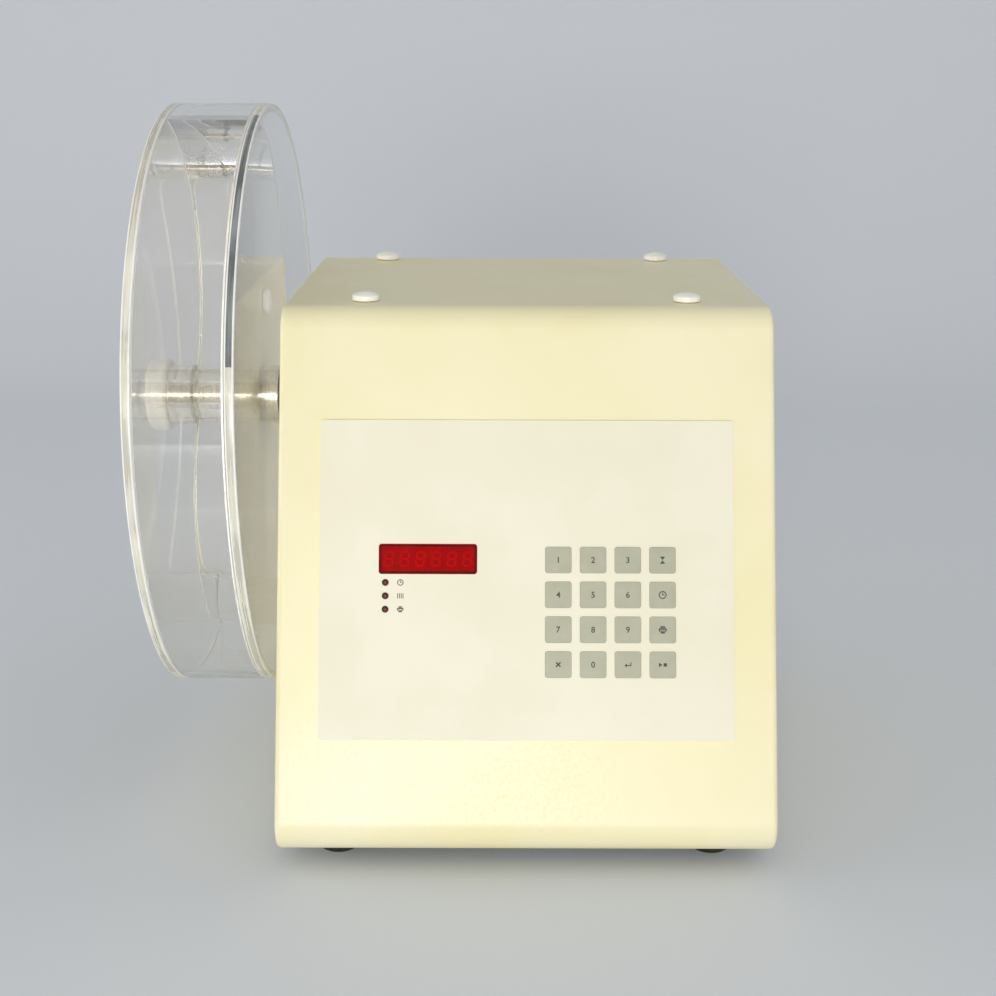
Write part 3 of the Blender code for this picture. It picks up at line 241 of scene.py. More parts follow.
def lettering(text, height, low, high):  # centred on its own middle
    curve = bpy.data.curves.new("work", "FONT")
    curve.body = text
    curve.size = height
    curve.offset = height * 0.015  # a little bolder
    curve.extrude = (high - low) / 2
    curve.resolution_u = 3
    shape = finished(workObject(curve))
    bmesh.ops.remove_doubles(shape, verts=shape.verts, dist=0.0005)
    xs = [vert.co.x for vert in shape.verts]
    ys = [vert.co.y for vert in shape.verts]
    moved(shape, -(min(xs) + max(xs)) / 2, -(min(ys) + max(ys)) / 2)
    grow = height / (max(ys) - min(ys))
    bmesh.ops.scale(shape, vec=(grow, grow, 1), verts=shape.verts)
    return moved(shape, z=(low + high) / 2)


def piece(name, shape, place, finishNames, stands=(), body="housing"):
    # makes the finished piece: its place is in its mesh, its flat faces are shaded flat
    shape.transform(Matrix.Scale(mm, 4) @ place)
    bmesh.ops.recalc_face_normals(shape, faces=shape.faces)
    mesh = toMesh(shape)
    mesh.shade_smooth()
    mesh.set_sharp_from_angle(angle=math.radians(30))
    thing = workObject(mesh)
    thing.modifiers.new("normals", "WEIGHTED_NORMAL").keep_sharp = True
    thing.data = evaluated(thing)
    thing.modifiers.clear()
    bpy.data.meshes.remove(mesh)
    thing.name = thing.data.name = name
    for finish in finishNames:
        thing.data.materials.append(finishes[finish])
    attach(thing, body)
    if stands:
        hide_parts(*stands)


# Geometry Nodes: rows and columns of one shape, each copy with its own small turn

rowsTree = bpy.data.node_groups.new("rowsOfCopies", "GeometryNodeTree")
for label, kind in (("Geometry", "Geometry"), ("Shape", "Object"), ("Columns", "Int"), ("Rows", "Int"),
                    ("Column pitch", "Float"), ("Row pitch", "Float"), ("Turn", "Float"), ("Seed", "Int"),
                    ("Finish", "Material")):
    rowsTree.interface.new_socket(label, in_out="INPUT", socket_type="NodeSocket" + kind)
rowsTree.interface.new_socket("Geometry", in_out="OUTPUT", socket_type="NodeSocketGeometry")
given = addNode(rowsTree, "NodeGroupInput").outputs
columnStep = addNode(rowsTree, "ShaderNodeCombineXYZ", {"X": given["Column pitch"]})
rowStep = addNode(rowsTree, "ShaderNodeCombineXYZ", {"Y": given["Row pitch"]})
columnLine = addNode(rowsTree, "GeometryNodeMeshLine", {"Count": given["Columns"], "Offset": columnStep})
rowLine = addNode(rowsTree, "GeometryNodeMeshLine", {"Count": given["Rows"], "Offset": rowStep})
crossed = addNode(rowsTree, "GeometryNodeInstanceOnPoints", {"Points": rowLine, "Instance": columnLine})
spots = addNode(rowsTree, "GeometryNodeRealizeInstances", {"Geometry": crossed})
chance = addNode(rowsTree, "FunctionNodeRandomValue", {2: -1.0, 3: 1.0, "Seed": given["Seed"]},
                 data_type="FLOAT")
turnBy = addNode(rowsTree, "ShaderNodeMath", {0: chance.outputs[1], 1: given["Turn"]}, operation="MULTIPLY")
turnAbout = addNode(rowsTree, "ShaderNodeCombineXYZ", {"Z": turnBy})
pattern = addNode(rowsTree, "GeometryNodeObjectInfo", {"Object": given["Shape"]})
scattered = addNode(rowsTree, "GeometryNodeInstanceOnPoints",
                    {"Points": spots, "Instance": pattern.outputs["Geometry"], "Rotation": turnAbout})
solidCopies = addNode(rowsTree, "GeometryNodeRealizeInstances", {"Geometry": scattered})
coated = addNode(rowsTree, "GeometryNodeSetMaterial", {"Geometry": solidCopies, "Material": given["Finish"]})
addNode(rowsTree, "NodeGroupOutput", {"Geometry": coated})


def inRows(shape, finish, columns=1, rows=1, columnPitch=0.0, rowPitch=0.0, turn=0.0, seed=1):
    # the copies of a shape as one shape, centred on the middle of its rows and columns
    source = workObject(toMesh(shape))
    holder = workObject(bpy.data.meshes.new("work"))
    modifier = holder.modifiers.new("rows", "NODES")
    modifier.node_group = rowsTree
    values = {"Shape": source, "Columns": columns, "Rows": rows, "Column pitch": columnPitch,
              "Row pitch": rowPitch, "Turn": turn, "Seed": seed, "Finish": finishes[finish]}
    for item in rowsTree.interface.items_tree:
        if item.in_out == "INPUT" and item.name in values:
            modifier[item.identifier] = values[item.name]
    copies = finished(holder)
    bpy.data.objects.remove(source, do_unlink=True)
    return moved(copies, -(columns - 1) * columnPitch / 2, -(rows - 1) * rowPitch / 2)


# Finishes. They read Object coordinates; sizes and heights in a look are in millimetres.

finishes = {}


def newMaterial(name, look):  # gives its tree, its shader, the place on the object and the same stretched
    material = finishes[name] = bpy.data.materials.new(name)
    material.use_nodes = True
    tree = material.node_tree
    place = addNode(tree, "ShaderNodeTexCoord").outputs["Object"]
    stretched = addNode(tree, "ShaderNodeMapping", {"Vector": place, "Scale": look.get("stretch", (1, 1, 1))})
    return tree, tree.nodes["Principled BSDF"], place, stretched


def makeFinish(name, look):
    # a slow mottling of the colour, an uneven gloss and a fine grain
    tree, shader, place, stretched = newMaterial(name, look)
    mottle = addNode(tree, "ShaderNodeTexNoise",
                     {"Vector": place, "Scale": 1 / (look["mottleSize"] * mm), "Detail": 3.0})
    share = addNode(tree, "ShaderNodeMapRange", {"Value": mottle, 1: 0.35, 2: 0.65})
    colour = addNode(tree, "ShaderNodeMix",
                     {0: share, 6: toLinear(look["colour"]), 7: toLinear(look["shade"])}, data_type="RGBA")
    grain = addNode(tree, "ShaderNodeTexNoise",
                    {"Vector": stretched, "Scale": 1 / (look["grainSize"] * mm), "Detail": 2.0})
    gloss = addNode(tree, "ShaderNodeMapRange",
                    {"Value": grain, 1: 0.3, 2: 0.7, 3: look["roughness"] - look["glossSpread"],
                     4: look["roughness"] + look["glossSpread"]})
    bump = addNode(tree, "ShaderNodeBump",
                   {"Height": grain, "Distance": look["grainHeight"] * mm, "Strength": 1.0})
    feed(shader, {"Base Color": colour.outputs[2], "Roughness": gloss, "Normal": bump,
                  "Metallic": look.get("metallic", 0.0)})
    if "ior" in look:
        feed(shader, {"IOR": look["ior"]})
    finishes[name].diffuse_color = toLinear(look["colour"])


looks = {
    # sprayed and stoved paint: a soft sheen over a fine orange peel, a little yellowed in patches
    "powderCoatedSteel": dict(colour="#f5edc6", shade="#f2e8b8", mottleSize=80, grainSize=1.5,
                              grainHeight=0.010, roughness=0.38, glossSpread=0.05, ior=1.5),
    # screen-printed polyester with a velvet face: nearly matt, with a fine even tooth
    "velvetPolyester": dict(colour="#efead2", shade="#ebe5ca", mottleSize=45, grainSize=0.5,
                            grainHeight=0.006, roughness=0.52, glossSpread=0.04, ior=1.57),
    # the same film printed grey over each key, a little polished by fingers
    "greyKeyFilm": dict(colour="#b1af97", shade="#aba98f", mottleSize=7, grainSize=0.5, grainHeight=0.006,
                        roughness=0.46, glossSpread=0.08, ior=1.57),
    # screen-printing ink: flat dark grey, a little thin in places
    "printedInk": dict(colour="#3c3b37", shade="#4a4943", mottleSize=1.5, grainSize=0.4, grainHeight=0.003,
                       roughness=0.6, glossSpread=0.05, ior=1.5),
    # moulded nylon: milky white with a waxy sheen and faint flow marks
    "mouldedNylon": dict(colour="#fffdf5", shade="#fbf7ea", mottleSize=9, grainSize=0.8, grainHeight=0.006,
                         roughness=0.36, glossSpread=0.07, ior=1.53),
    # moulded rubber: dull black, dusty on its sides
    "mouldedRubber": dict(colour="#1d1d1c", shade="#2b2a28", mottleSize=6, grainSize=0.6, grainHeight=0.02,
                          roughness=0.78, glossSpread=0.08, ior=1.52),
    # spark-eroded mould texture on black ABS: an even matt grain
    "texturedAbs": dict(colour="#1b1b1c", shade="#232325", mottleSize=14, grainSize=0.5, grainHeight=0.02,
                        roughness=0.5, glossSpread=0.08, ior=1.54),
    # unlit segments of a diffused red display: pale pinkish bars
    "unlitSegment": dict(colour="#f6c8b8", shade="#f0b8a8", mottleSize=2.5, grainSize=0.5, grainHeight=0.002,
                         roughness=0.4, glossSpread=0.05, ior=1.5),
    # potted display face: pale red epoxy, seen through the filter
    "redEpoxy": dict(colour="#c8a096", shade="#b48e84", mottleSize=8, grainSize=0.8, grainHeight=0.004,
                     roughness=0.35, glossSpread=0.06, ior=1.55),
    # unlit lamp: brown-red epoxy that shines like a drop
    "lampEpoxy": dict(colour="#702812", shade="#5c1f0e", mottleSize=1.5, grainSize=1.0, grainHeight=0.003,
                      roughness=0.45, glossSpread=0.05, ior=1.45),
    # dark holder round each lamp, and the dark border of the display
    "lampCollar": dict(colour="#3c130d", shade="#30100b", mottleSize=1.5, grainSize=0.5, grainHeight=0.004,
                       roughness=0.4, glossSpread=0.06, ior=1.5),
    # cylindrically ground stainless steel: warm grey with fine rings around the shaft
    "groundSteel": dict(colour="#ece4d2", shade="#e0d6c1", mottleSize=16, grainSize=0.9,
                        stretch=(1.0, 0.02, 0.02), grainHeight=0.001, roughness=0.27, glossSpread=0.05,
                        metallic=1.0),
    # turned aluminium: bright, with rings from the tool
    "turnedAluminium": dict(colour="#d2d3d4", shade="#c3c4c6", mottleSize=12, grainSize=0.7,
                            stretch=(1.0, 0.02, 0.02), grainHeight=0.008, roughness=0.32, glossSpread=0.09,
                            metallic=1.0),
    # zinc-plated sheet: bluish grey with cloudy patches from the bath
    "zincPlatedSteel": dict(colour="#bfc3c8", shade="#a9adb0", mottleSize=18, grainSize=1.2,
                            stretch=(1.0, 0.15, 1.0), grainHeight=0.006, roughness=0.38, glossSpread=0.1,
                            metallic=1.0),
    # stacked laminations, varnished: dark grey-brown with fine level lines
    "varnishedLaminations": dict(colour="#55504a", shade="#463f38", mottleSize=10, grainSize=0.9,
                                 stretch=(0.05, 1.0, 0.05), grainHeight=0.05, roughness=0.45, glossSpread=0.1,
                                 metallic=0.5),
    # glass-fibre board under green solder mask: glossy, with the weave just showing
    "greenCircuitBoard": dict(colour="#1f5c36", shade="#18502d", mottleSize=5, grainSize=0.9,
                              grainHeight=0.01, roughness=0.3, glossSpread=0.08, ior=1.55),
}
for name, look in looks.items():
    makeFinish(name, look)

enamelMarks = dict(speckSize=42, speckShare=0.7, speckEdge=0.014, speckCore=0.008, speckStrength=0.75,
            speckColour="#7d7458", paleEdgeFrom=2.2, paleEdgeTo=0.1, fullFrom=0.9, fullTo=0.5, patchSize=11,
            paleEdgeStrength=0.6, paleEdgeColour="#fbf6df")


def speckedEnamelPaleEdges():
    # the housing's paint gets a few dark specks of dust and a paler, patchy line along the rounding of its
    # side edges
    w, half = enamelMarks, (right - left) / 2
    tree = finishes["powderCoatedSteel"].node_tree
    shader = tree.nodes["Principled BSDF"]
    colour = shader.inputs["Base Color"].links[0].from_socket
    place = addNode(tree, "ShaderNodeTexCoord").outputs["Object"]
    cells = addNode(tree, "ShaderNodeTexVoronoi", {"Vector": place, "Scale": 1 / (w["speckSize"] * mm)})
    some = addNode(tree, "ShaderNodeSeparateColor", {"Color": cells.outputs["Color"]})
    few = addNode(tree, "ShaderNodeMath", {0: some, 1: w["speckShare"]}, operation="GREATER_THAN")
    dot = addNode(tree, "ShaderNodeMapRange", {"Value": cells.outputs["Distance"], 1: w["speckCore"],
                                               2: w["speckEdge"], 3: w["speckStrength"], 4: 0.0})
    speck = addNode(tree, "ShaderNodeMath", {0: few, 1: dot}, operation="MULTIPLY")
    specked = addNode(tree, "ShaderNodeMix", {0: speck, 6: colour, 7: toLinear(w["speckColour"])},
                      data_type="RGBA")
    # the rounding lies between two distances from the middle; the flat side beyond it keeps its plain colour
    across = addNode(tree, "ShaderNodeSeparateXYZ", {"Vector": place})
    fromMiddle = addNode(tree, "ShaderNodeMath", {0: across, 1: middleX * mm}, operation="SUBTRACT")
    distance = addNode(tree, "ShaderNodeMath", {0: fromMiddle}, operation="ABSOLUTE")
    inner = addNode(tree, "ShaderNodeMapRange", {"Value": distance, 1: (half - w["paleEdgeFrom"]) * mm,
                                                 2: (half - w["fullFrom"]) * mm})
    outer = addNode(tree, "ShaderNodeMapRange", {"Value": distance, 1: (half - w["fullTo"]) * mm,
                                                 2: (half - w["paleEdgeTo"]) * mm, 3: 1.0, 4: 0.0})
    edge = addNode(tree, "ShaderNodeMath", {0: inner, 1: outer}, operation="MULTIPLY")
    patches = addNode(tree, "ShaderNodeTexNoise",
                      {"Vector": place, "Scale": 1 / (w["patchSize"] * mm), "Detail": 4.0})
    patchy = addNode(tree, "ShaderNodeMapRange", {"Value": patches, 1: 0.45, 2: 0.7, 4: w["paleEdgeStrength"]})
    paleEdge = addNode(tree, "ShaderNodeMath", {0: edge, 1: patchy}, operation="MULTIPLY")
    worn = addNode(tree, "ShaderNodeMix", {0: paleEdge, 6: specked.outputs[2], 7: toLinear(w["paleEdgeColour"])},
                   data_type="RGBA")
    feed(shader, {"Base Color": worn.outputs[2]})


def makeAcrylic(name, look):
    # acrylic sheet; light from the lamps passes it, so that it throws only a faint shadow
    tree, shader, place, stretched = newMaterial(name, look)
    # rubbing marks, about 0.3 mm across on the real sheet and drawn coarser to show, in patches 30 mm across
    marks = addNode(tree, "ShaderNodeTexNoise", {"Vector": stretched, "Scale": 1 / (look["markSize"] * mm),
                                                 "Detail": 3.0, "Roughness": 0.6})
    patches = addNode(tree, "ShaderNodeTexNoise", {"Vector": place, "Scale": 1 / (30 * mm), "Detail": 2.0})
    both = addNode(tree, "ShaderNodeMath", {0: marks, 1: patches}, operation="MULTIPLY")
    haze = addNode(tree, "ShaderNodeMapRange", {"Value": both, 1: 0.2, 2: 0.4, 3: look["clearest"],
                                                4: look["haziest"]})
    clearness = addNode(tree, "ShaderNodeMapRange", {"Value": both, 1: 0.2, 2: 0.4, 3: look["clearness"],
                                                     4: look["cloudiness"]})
    feed(shader, {"Base Color": toLinear(look["colour"]), "IOR": look.get("ior", 1.49), "Roughness": haze,
                  "Transmission Weight": clearness})
    if "markHeight" in look:
        feed(shader, {"Normal": addNode(tree, "ShaderNodeBump", {
            "Height": marks, "Distance": look["markHeight"] * mm, "Strength": 1.0})})
    ray = addNode(tree, "ShaderNodeLightPath").outputs["Is Shadow Ray"]
    clear = addNode(tree, "ShaderNodeBsdfTransparent", {"Color": toLinear(look["shadow"])})
    mix = addNode(tree, "ShaderNodeMixShader", {0: ray, 1: shader, 2: clear})
    feed(tree.nodes["Material Output"], {"Surface": mix})


acrylics = {
    # polished sheet: clear as glass, with a faint haze of rubbing marks
    "castAcrylic": dict(colour="#fefdfb", clearness=0.99, cloudiness=0.97, markSize=1.0, clearest=0.0,
                        haziest=0.001, shadow="#fafafa"),
    # polished part of the edge of the disc by the housing; its grey colour is painted shade for the dark that
    # the polished edge refracts there
    "polishedAcrylicEdge": dict(colour="#bcc3c2", clearness=0.75, cloudiness=0.4, markSize=0.9,
                                stretch=(1, 0.02, 0.02), clearest=0.02, haziest=0.1, shadow="#f4f4f2"),
    # sawn and sanded edges: they gather light and look milky, with long streaks along the edge
    "sawnAcrylicEdge": dict(colour="#fffbe6", clearness=0.45, cloudiness=0.12, markSize=0.9,
                            stretch=(1, 0.02, 0.02), markHeight=0.002, clearest=0.25, haziest=0.4,
                            shadow="#eeeeea"),
    # turned and only half polished, so that the hub and the collar look a little milky
    "turnedAcrylic": dict(colour="#fffcf2", clearness=0.9, cloudiness=0.68, markSize=0.9,
                          stretch=(1, 0.02, 0.02), clearest=0.04, haziest=0.14, shadow="#f4f4f2"),
    # broken corners: scraped by hand, so they scatter nearly all the light as a fine white line
    "scrapedAcrylicCorner": dict(colour="#fffef8", clearness=0.15, cloudiness=0.0, markSize=2.0,
                                 markHeight=0.002, clearest=0.3, haziest=0.5, shadow="#eeeeea"),
    # red filter over the digits: deep red right through; a low index keeps the lamp's image off its face
    "redFilterAcrylic": dict(colour="#c40400", clearness=0.9, cloudiness=0.8, markSize=8.0, markHeight=0.001,
                             clearest=0.08, haziest=0.15, shadow="#f0281c", ior=1.25),
    # solvent cement in the joints: a cloudy white line with small bubbles
    "solventCement": dict(colour="#fffef8", clearness=0.35, cloudiness=0.05, markSize=0.7, clearest=0.1,
                          haziest=0.4, shadow="#dcdcd6"),
}
for name, look in acrylics.items():
    makeAcrylic(name, look)
print("finishes:", len(finishes))


# Where things are, in millimetres, from the frame

def nodeBox(name):
    low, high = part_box(name)
    return low / mm, high / mm


def nodeMiddle(name):
    low, high = nodeBox(name)
    return (low + high) / 2


coverLow, coverHigh = nodeBox("housing_cover")
left, right, bottom, top, back = coverLow.x, coverHigh.x, coverLow.z, coverHigh.z, coverHigh.y
middleX = (left + right) / 2
rimLow, rimHigh = nodeBox("drum_rim")
axisY, axisZ = (rimLow.y + rimHigh.y) / 2, (rimLow.z + rimHigh.z) / 2

housing = dict(frontRun=86.3, topDepth=182.2, wall=3.0, frontBend=14.0, bottomBend=14.0, backBend=2.5,
               sideEdge=2.4, lip=24.0, shaftHole=8.0, stemHole=4.5, seat=0.3, overcut=2.0, boss=3.5,
               bossInset=4.2)
frontY = back - housing["frontRun"] - housing["topDepth"]
lean = math.atan2(housing["frontRun"], top - bottom)

frontPlace = at(left, frontY + housing["frontRun"], top) @ Matrix.Rotation(math.pi / 2 - lean, 4, "X")
shaftPlace = at(0, axisY, axisZ) @ spin(90, "Y")
sidePlace = at(middleX, 0) @ tipped(90, 90)


def rearPlace(x, z):  # local X left, Y up, Z out of the rear
    return at(x, back, z) @ tipped(90, 180)


def atCorners(name, shape, finish, nodes, level, slot, **tilt):  # four copies, each in the place of a node
    start, end = nodeMiddle(nodes[0]), nodeMiddle(nodes[3])
    copies = inRows(shape, finish, 2, 2, end.x - start.x, end.y - start.y, **tilt)
    piece(name, copies, at((start.x + end.x) / 2, (start.y + end.y) / 2, level), [finish], nodes)


# Housing cover: one folded and painted sheet, with windows in its sloped front

display = dict(x=69.2, y=-115.85, width=44.8, height=13.7, corner=1.4, high=1.3, low=-0.7, edge=0.15,
               gap=0.08, borderWidth=1.15, borderLow=-0.78, borderHigh=-0.73, moduleInset=0.6, moduleLow=-7.7,
               moduleHigh=-1.05, digits=6, digitPitch=7.2, digitHeight=7.1, digitWidth=4.4, digitSlant=6.0,
               digitLow=-1.04, digitHigh=-0.9, stroke=0.85, strokeGap=0.12)
lamps = dict(x=49.8, y=-126.6, pitch=6.1, count=3, radius=1.5, high=1.9, low=-7.7, wall=0.55, gap=0.08,
             signAway=6.9, signSize=2.9)
keys = dict(x=128.7, y=-116.1, pitch=15.85, size=12.0, corner=1.2, high=1.55, low=-7.3, edge=0.2, gap=0.03,
            haloWidth=0.8, haloHeight=0.12, haloCorner=1.4, signSize=3.6, digitSize=2.8)
overlay = dict(width=189.2, height=146.0, y=-52.1, corner=1.5, low=0.05, high=1.3, edge=0.2)
board = dict(high=-8.0, past=9.0, above=8.0)
window = dict(gap=0.2, corner=0.8, lampSlot=4.6, keyMargin=2.4, keyCorner=2.0)

keyRows = ["1 2 3 time_count", "4 5 6 clock", "7 8 9 print", "clear 0 enter start_stop"]
keyPlaces = {name: (keys["x"] + column * keys["pitch"], keys["y"] - row * keys["pitch"])
             for row, names in enumerate(keyRows) for column, name in enumerate(names.split())}
keyMiddle = (keys["x"] + 1.5 * keys["pitch"], keys["y"] - 1.5 * keys["pitch"])
topPlugs = ["top_plug_front_left", "top_plug_front_right", "top_plug_rear_left", "top_plug_rear_right"]
sidePlugs = ["side_plug_left", "side_plug_right"]


def sideOutline(inset=0.0, overrun=0.0):  # the housing from its side, as (back, up)
    slope = math.tan(lean)
    low, high = bottom + inset, top - inset
    shift = inset / math.cos(lean)
    end = back + overrun
    return rounded([(frontY + slope * (low - bottom) + shift, low, housing["bottomBend"] - inset),
                    (end, low, 0), (end, high, 0 if inset else housing["backBend"]),
                    (frontY + slope * (high - bottom) + shift, high, housing["frontBend"] - inset)], 18)


def bossPlaces():  # near the corners of the board, which reaches past the display and the keys
    reach = 3 * keys["pitch"] + keys["size"] / 2
    inset = housing["bossInset"] - board["past"]
    lower = housing["bossInset"] - board["above"]
    return [(x, y) for x in (display["x"] - display["width"] / 2 + inset, keys["x"] + reach - inset)
            for y in (keys["y"] - reach + lower, display["y"] + display["height"] / 2 - lower)]


def makeHousing():
    h, width, wall, overcut = housing, right - left, housing["wall"], housing["overcut"]
    cover = placed(bevelled(plate([sideOutline()], -width / 2, width / 2), h["sideEdge"], 6, 60), sidePlace)
    inner = width - 2 * wall
    cavity = placed(plate([sideOutline(wall, overcut)], -inner / 2, inner / 2), sidePlace)
    lipEnd = frontY + h["lip"]
    depth = back + overcut - lipEnd
    opening = block(inner, depth, wall + 2 * overcut, middleX, lipEnd + depth / 2, bottom + wall / 2)
    field = 3 * keys["pitch"] + keys["size"] + window["keyMargin"]
    slot = window["lampSlot"]
    outlines = [rectangle(display["width"] + window["gap"], display["height"] + window["gap"],
                          window["corner"], display["x"], display["y"]),
                rectangle(slot, 2 * lamps["pitch"] + slot, slot / 2, lamps["x"], lamps["y"] - lamps["pitch"]),
                rectangle(field, field, window["keyCorner"], *keyMiddle)]
    holes = [placed(plate([outline], -wall - overcut, overcut), frontPlace) for outline in outlines]
    holes.append(placed(moved(plate([circle(h["shaftHole"])], -wall, wall), z=left + wall / 2), shaftPlace))
    for node in topPlugs + sidePlugs:
        hole = plate([circle(h["stemHole"], steps=32)], -4 * wall, 4 * wall)
        holes.append(placed(hole, at(*nodeMiddle(node)) @ spin(90 if node in sidePlugs else 0, "Y")))
    studs = [placed(moved(plate([circle(h["boss"], steps=32)], board["high"] + h["seat"], -wall / 2), x, y),
                    frontPlace) for x, y in bossPlaces()]
    cover = combined(cover, [cavity, opening, joined((0, holes))])
    cover = combined(cover, [joined((0, studs))], "UNION")
    piece("housingCover", cover, Matrix.Identity(4), ["powderCoatedSteel"], ["housing_cover"])


speckedEnamelPaleEdges()
makeHousing()
print("housing cover made")


# Cap plugs over the fixing holes: a low dome over a short skirt, with a stem into the wall

plug = dict(radius=6.5, skirt=2.4, height=4.2, stem=4.2, reach=2.2, under=0.35, crown=0.3, domeInset=0.35,
            shoulder=0.25)


def plugShape():
    p, radius, reach = plug, plug["radius"], plug["reach"]
    rise = p["height"] - p["skirt"]
    sphere = (radius ** 2 + rise ** 2) / (2 * rise)
    sweep = math.asin((radius - p["domeInset"]) / sphere)
    dome = [(sphere * math.sin(sweep * step / 8),
             p["height"] + p["crown"] - sphere * (1 - math.cos(sweep * step / 8))) for step in range(9)]
    edge = rounded([(*dome[-1], 0), (radius, p["skirt"] + p["shoulder"], 0.3), (radius, p["under"], 0.25),
                    (p["stem"], p["under"], 0), (p["stem"], -reach, 0.4), (0, -reach, 0)], 3)
    return turned(dome + edge[1:], 48)


atCorners("capPlugsTop", plugShape(), "mouldedNylon", topPlugs, top, "white_nylon", turn=3.0, seed=4)
for node, wall, side in (("side_plug_left", left, -1), ("side_plug_right", right, 1)):
    middle = nodeMiddle(node)
    piece("capPlug" + node.split("_")[2].capitalize(), plugShape(),
          at(wall, middle.y, middle.z) @ spin(side * 90, "Y"), ["mouldedNylon"], [node])
print("cap plugs made")


# Front overlay: a printed film with windows for the display, the lamps and the keys

# each sign is 1 across; its shapes are outlines, each with its holes
crossArms = [(0.09, 0.09), (0.09, 0.4), (-0.09, 0.4), (-0.09, 0.09), (-0.4, 0.09), (-0.4, -0.09),
             (-0.09, -0.09), (-0.09, -0.4), (0.09, -0.4), (0.09, -0.09), (0.4, -0.09), (0.4, 0.09)]
slant = math.sqrt(0.5)
signs = {
    "clock": [[circle(0.5, steps=32), circle(0.37, steps=32)], [rectangle(0.12, 0.36, 0, 0, 0.12)],
              [rectangle(0.19, 0.11, 0, 0.175, -0.005)]],
    "tally": [[rectangle(0.12, 0.8, 0, (index - 1.5) * 0.28)] for index in range(4)],
    "print": [[rectangle(1, 0.42, 0.08), rectangle(0.7, 0.12, 0, 0, -0.04)],
              [rectangle(0.6, 0.2, 0, 0, 0.36)], [rectangle(0.56, 0.2, 0, 0, -0.36)]],
    # an hourglass, a cross, the bent arrow of a return key, and a triangle for start with a square for stop
    "time_count": [[[(-0.34, 0.45), (0, 0.02), (0.34, 0.45)]], [[(-0.34, -0.45), (0.34, -0.45), (0, -0.02)]]],
    "clear": [[[((x - y) * slant, (x + y) * slant) for x, y in crossArms]]],
    "enter": [[[(-0.45, -0.1), (-0.15, -0.35), (-0.15, -0.16), (0.42, -0.16), (0.42, 0.3), (0.3, 0.3),
                (0.3, -0.04), (-0.15, -0.04), (-0.15, 0.15)]]],
    "start_stop": [[[(-0.5, -0.28), (-0.06, 0), (-0.5, 0.28)]], [rectangle(0.42, 0.42, 0, 0.3)]],
}


def signShapes(name, size, low, high, x=0.0, y=0.0):
    return [moved(plate([[(u * size, v * size) for u, v in outline] for outline in outlines], low, high),
                  x, y)
            for outlines in signs[name]]


def makeOverlay():
    o, keyWindow = overlay, keys["size"] + 2 * keys["gap"]
    outlines = [rectangle(o["width"], o["height"], o["corner"], (right - left) / 2, o["y"] - o["height"] / 2),
                rectangle(display["width"] + 2 * display["gap"], display["height"] + 2 * display["gap"],
                          display["corner"], display["x"], display["y"])]
    outlines += [rectangle(keyWindow, keyWindow, keys["corner"], x, y) for x, y in keyPlaces.values()]
    printed, inkLow, inkHigh = [], o["high"] - 0.02, o["high"] + 0.03
    for row, name in enumerate(("clock", "tally", "print")):
        y = lamps["y"] - row * lamps["pitch"]
        outlines.append(circle(lamps["radius"] + lamps["gap"], lamps["x"], y, 32))
        printed += signShapes(name, lamps["signSize"], inkLow, inkHigh, lamps["x"] + lamps["signAway"], y)
    sheet = plate(outlines, o["low"], o["high"], o["edge"])
    piece("frontOverlay", sheet, frontPlace, ["velvetPolyester"], ["front_overlay"])

    outer = keyWindow + 2 * keys["haloWidth"]
    halo = plate([rectangle(outer, outer, keys["haloCorner"]),
                  rectangle(keyWindow + 0.1, keyWindow + 0.1, keys["corner"])],
                 o["high"] - 0.1, o["high"] + keys["haloHeight"], 0.1)
    halos = inRows(halo, "velvetPolyester", 4, 4, keys["pitch"], keys["pitch"])
    piece("keySurrounds", halos, frontPlace @ at(*keyMiddle), ["velvetPolyester"])
    piece("lampSigns", joined((0, printed)), frontPlace, ["printedInk"])


makeOverlay()
print("overlay made")


# Display window, digits and lamps

def strokeOutline(half, tip):  # one segment of a digit, pointed at both ends
    return [(-half, 0), (tip - half, tip), (half - tip, tip), (half, 0), (half - tip, -tip),
            (tip - half, -tip)]


def makeDisplay():
    d, width, height = display, display["width"], display["height"]
    place = frontPlace @ at(d["x"], d["y"])
    outline = rectangle(width, height, d["corner"])
    piece("displayWindow", plate([outline], d["low"], d["high"], d["edge"]), place, ["redFilterAcrylic"],
          ["display_window"])
    inner = rectangle(width - 2 * d["borderWidth"], height - 2 * d["borderWidth"], 0.3)
    piece("displayBorder", plate([outline, inner], d["borderLow"], d["borderHigh"]), place, ["lampCollar"])
    face = rectangle(width - 2 * d["moduleInset"], height - 2 * d["moduleInset"], 0.3)
    piece("displayModule", plate([face], d["moduleLow"], d["moduleHigh"], 0.1), place, ["redEpoxy"],
          ["display_module"])

    tip = d["stroke"] / 2
    side, rise = d["digitWidth"] / 2 - tip, d["digitHeight"] / 2 - tip
    level = strokeOutline(side - d["strokeGap"], tip)
    upright = [(y, x + rise / 2) for x, y in strokeOutline(rise / 2 - d["strokeGap"], tip)]
    segments = [[(x, y + up) for x, y in level] for up in (-rise, 0, rise)]
    segments += [[(x + across, y + up) for x, y in upright] for across in (-side, side) for up in (0, -rise)]
    slope = math.tan(math.radians(d["digitSlant"]))
    digit = joined((0, [plate([[(x + y * slope, y) for x, y in segment]], d["digitLow"], d["digitHigh"])
                        for segment in segments]))
    digits = inRows(digit, "unlitSegment", d["digits"], 1, d["digitPitch"])
    piece("displayDigits", digits, place, ["unlitSegment"])


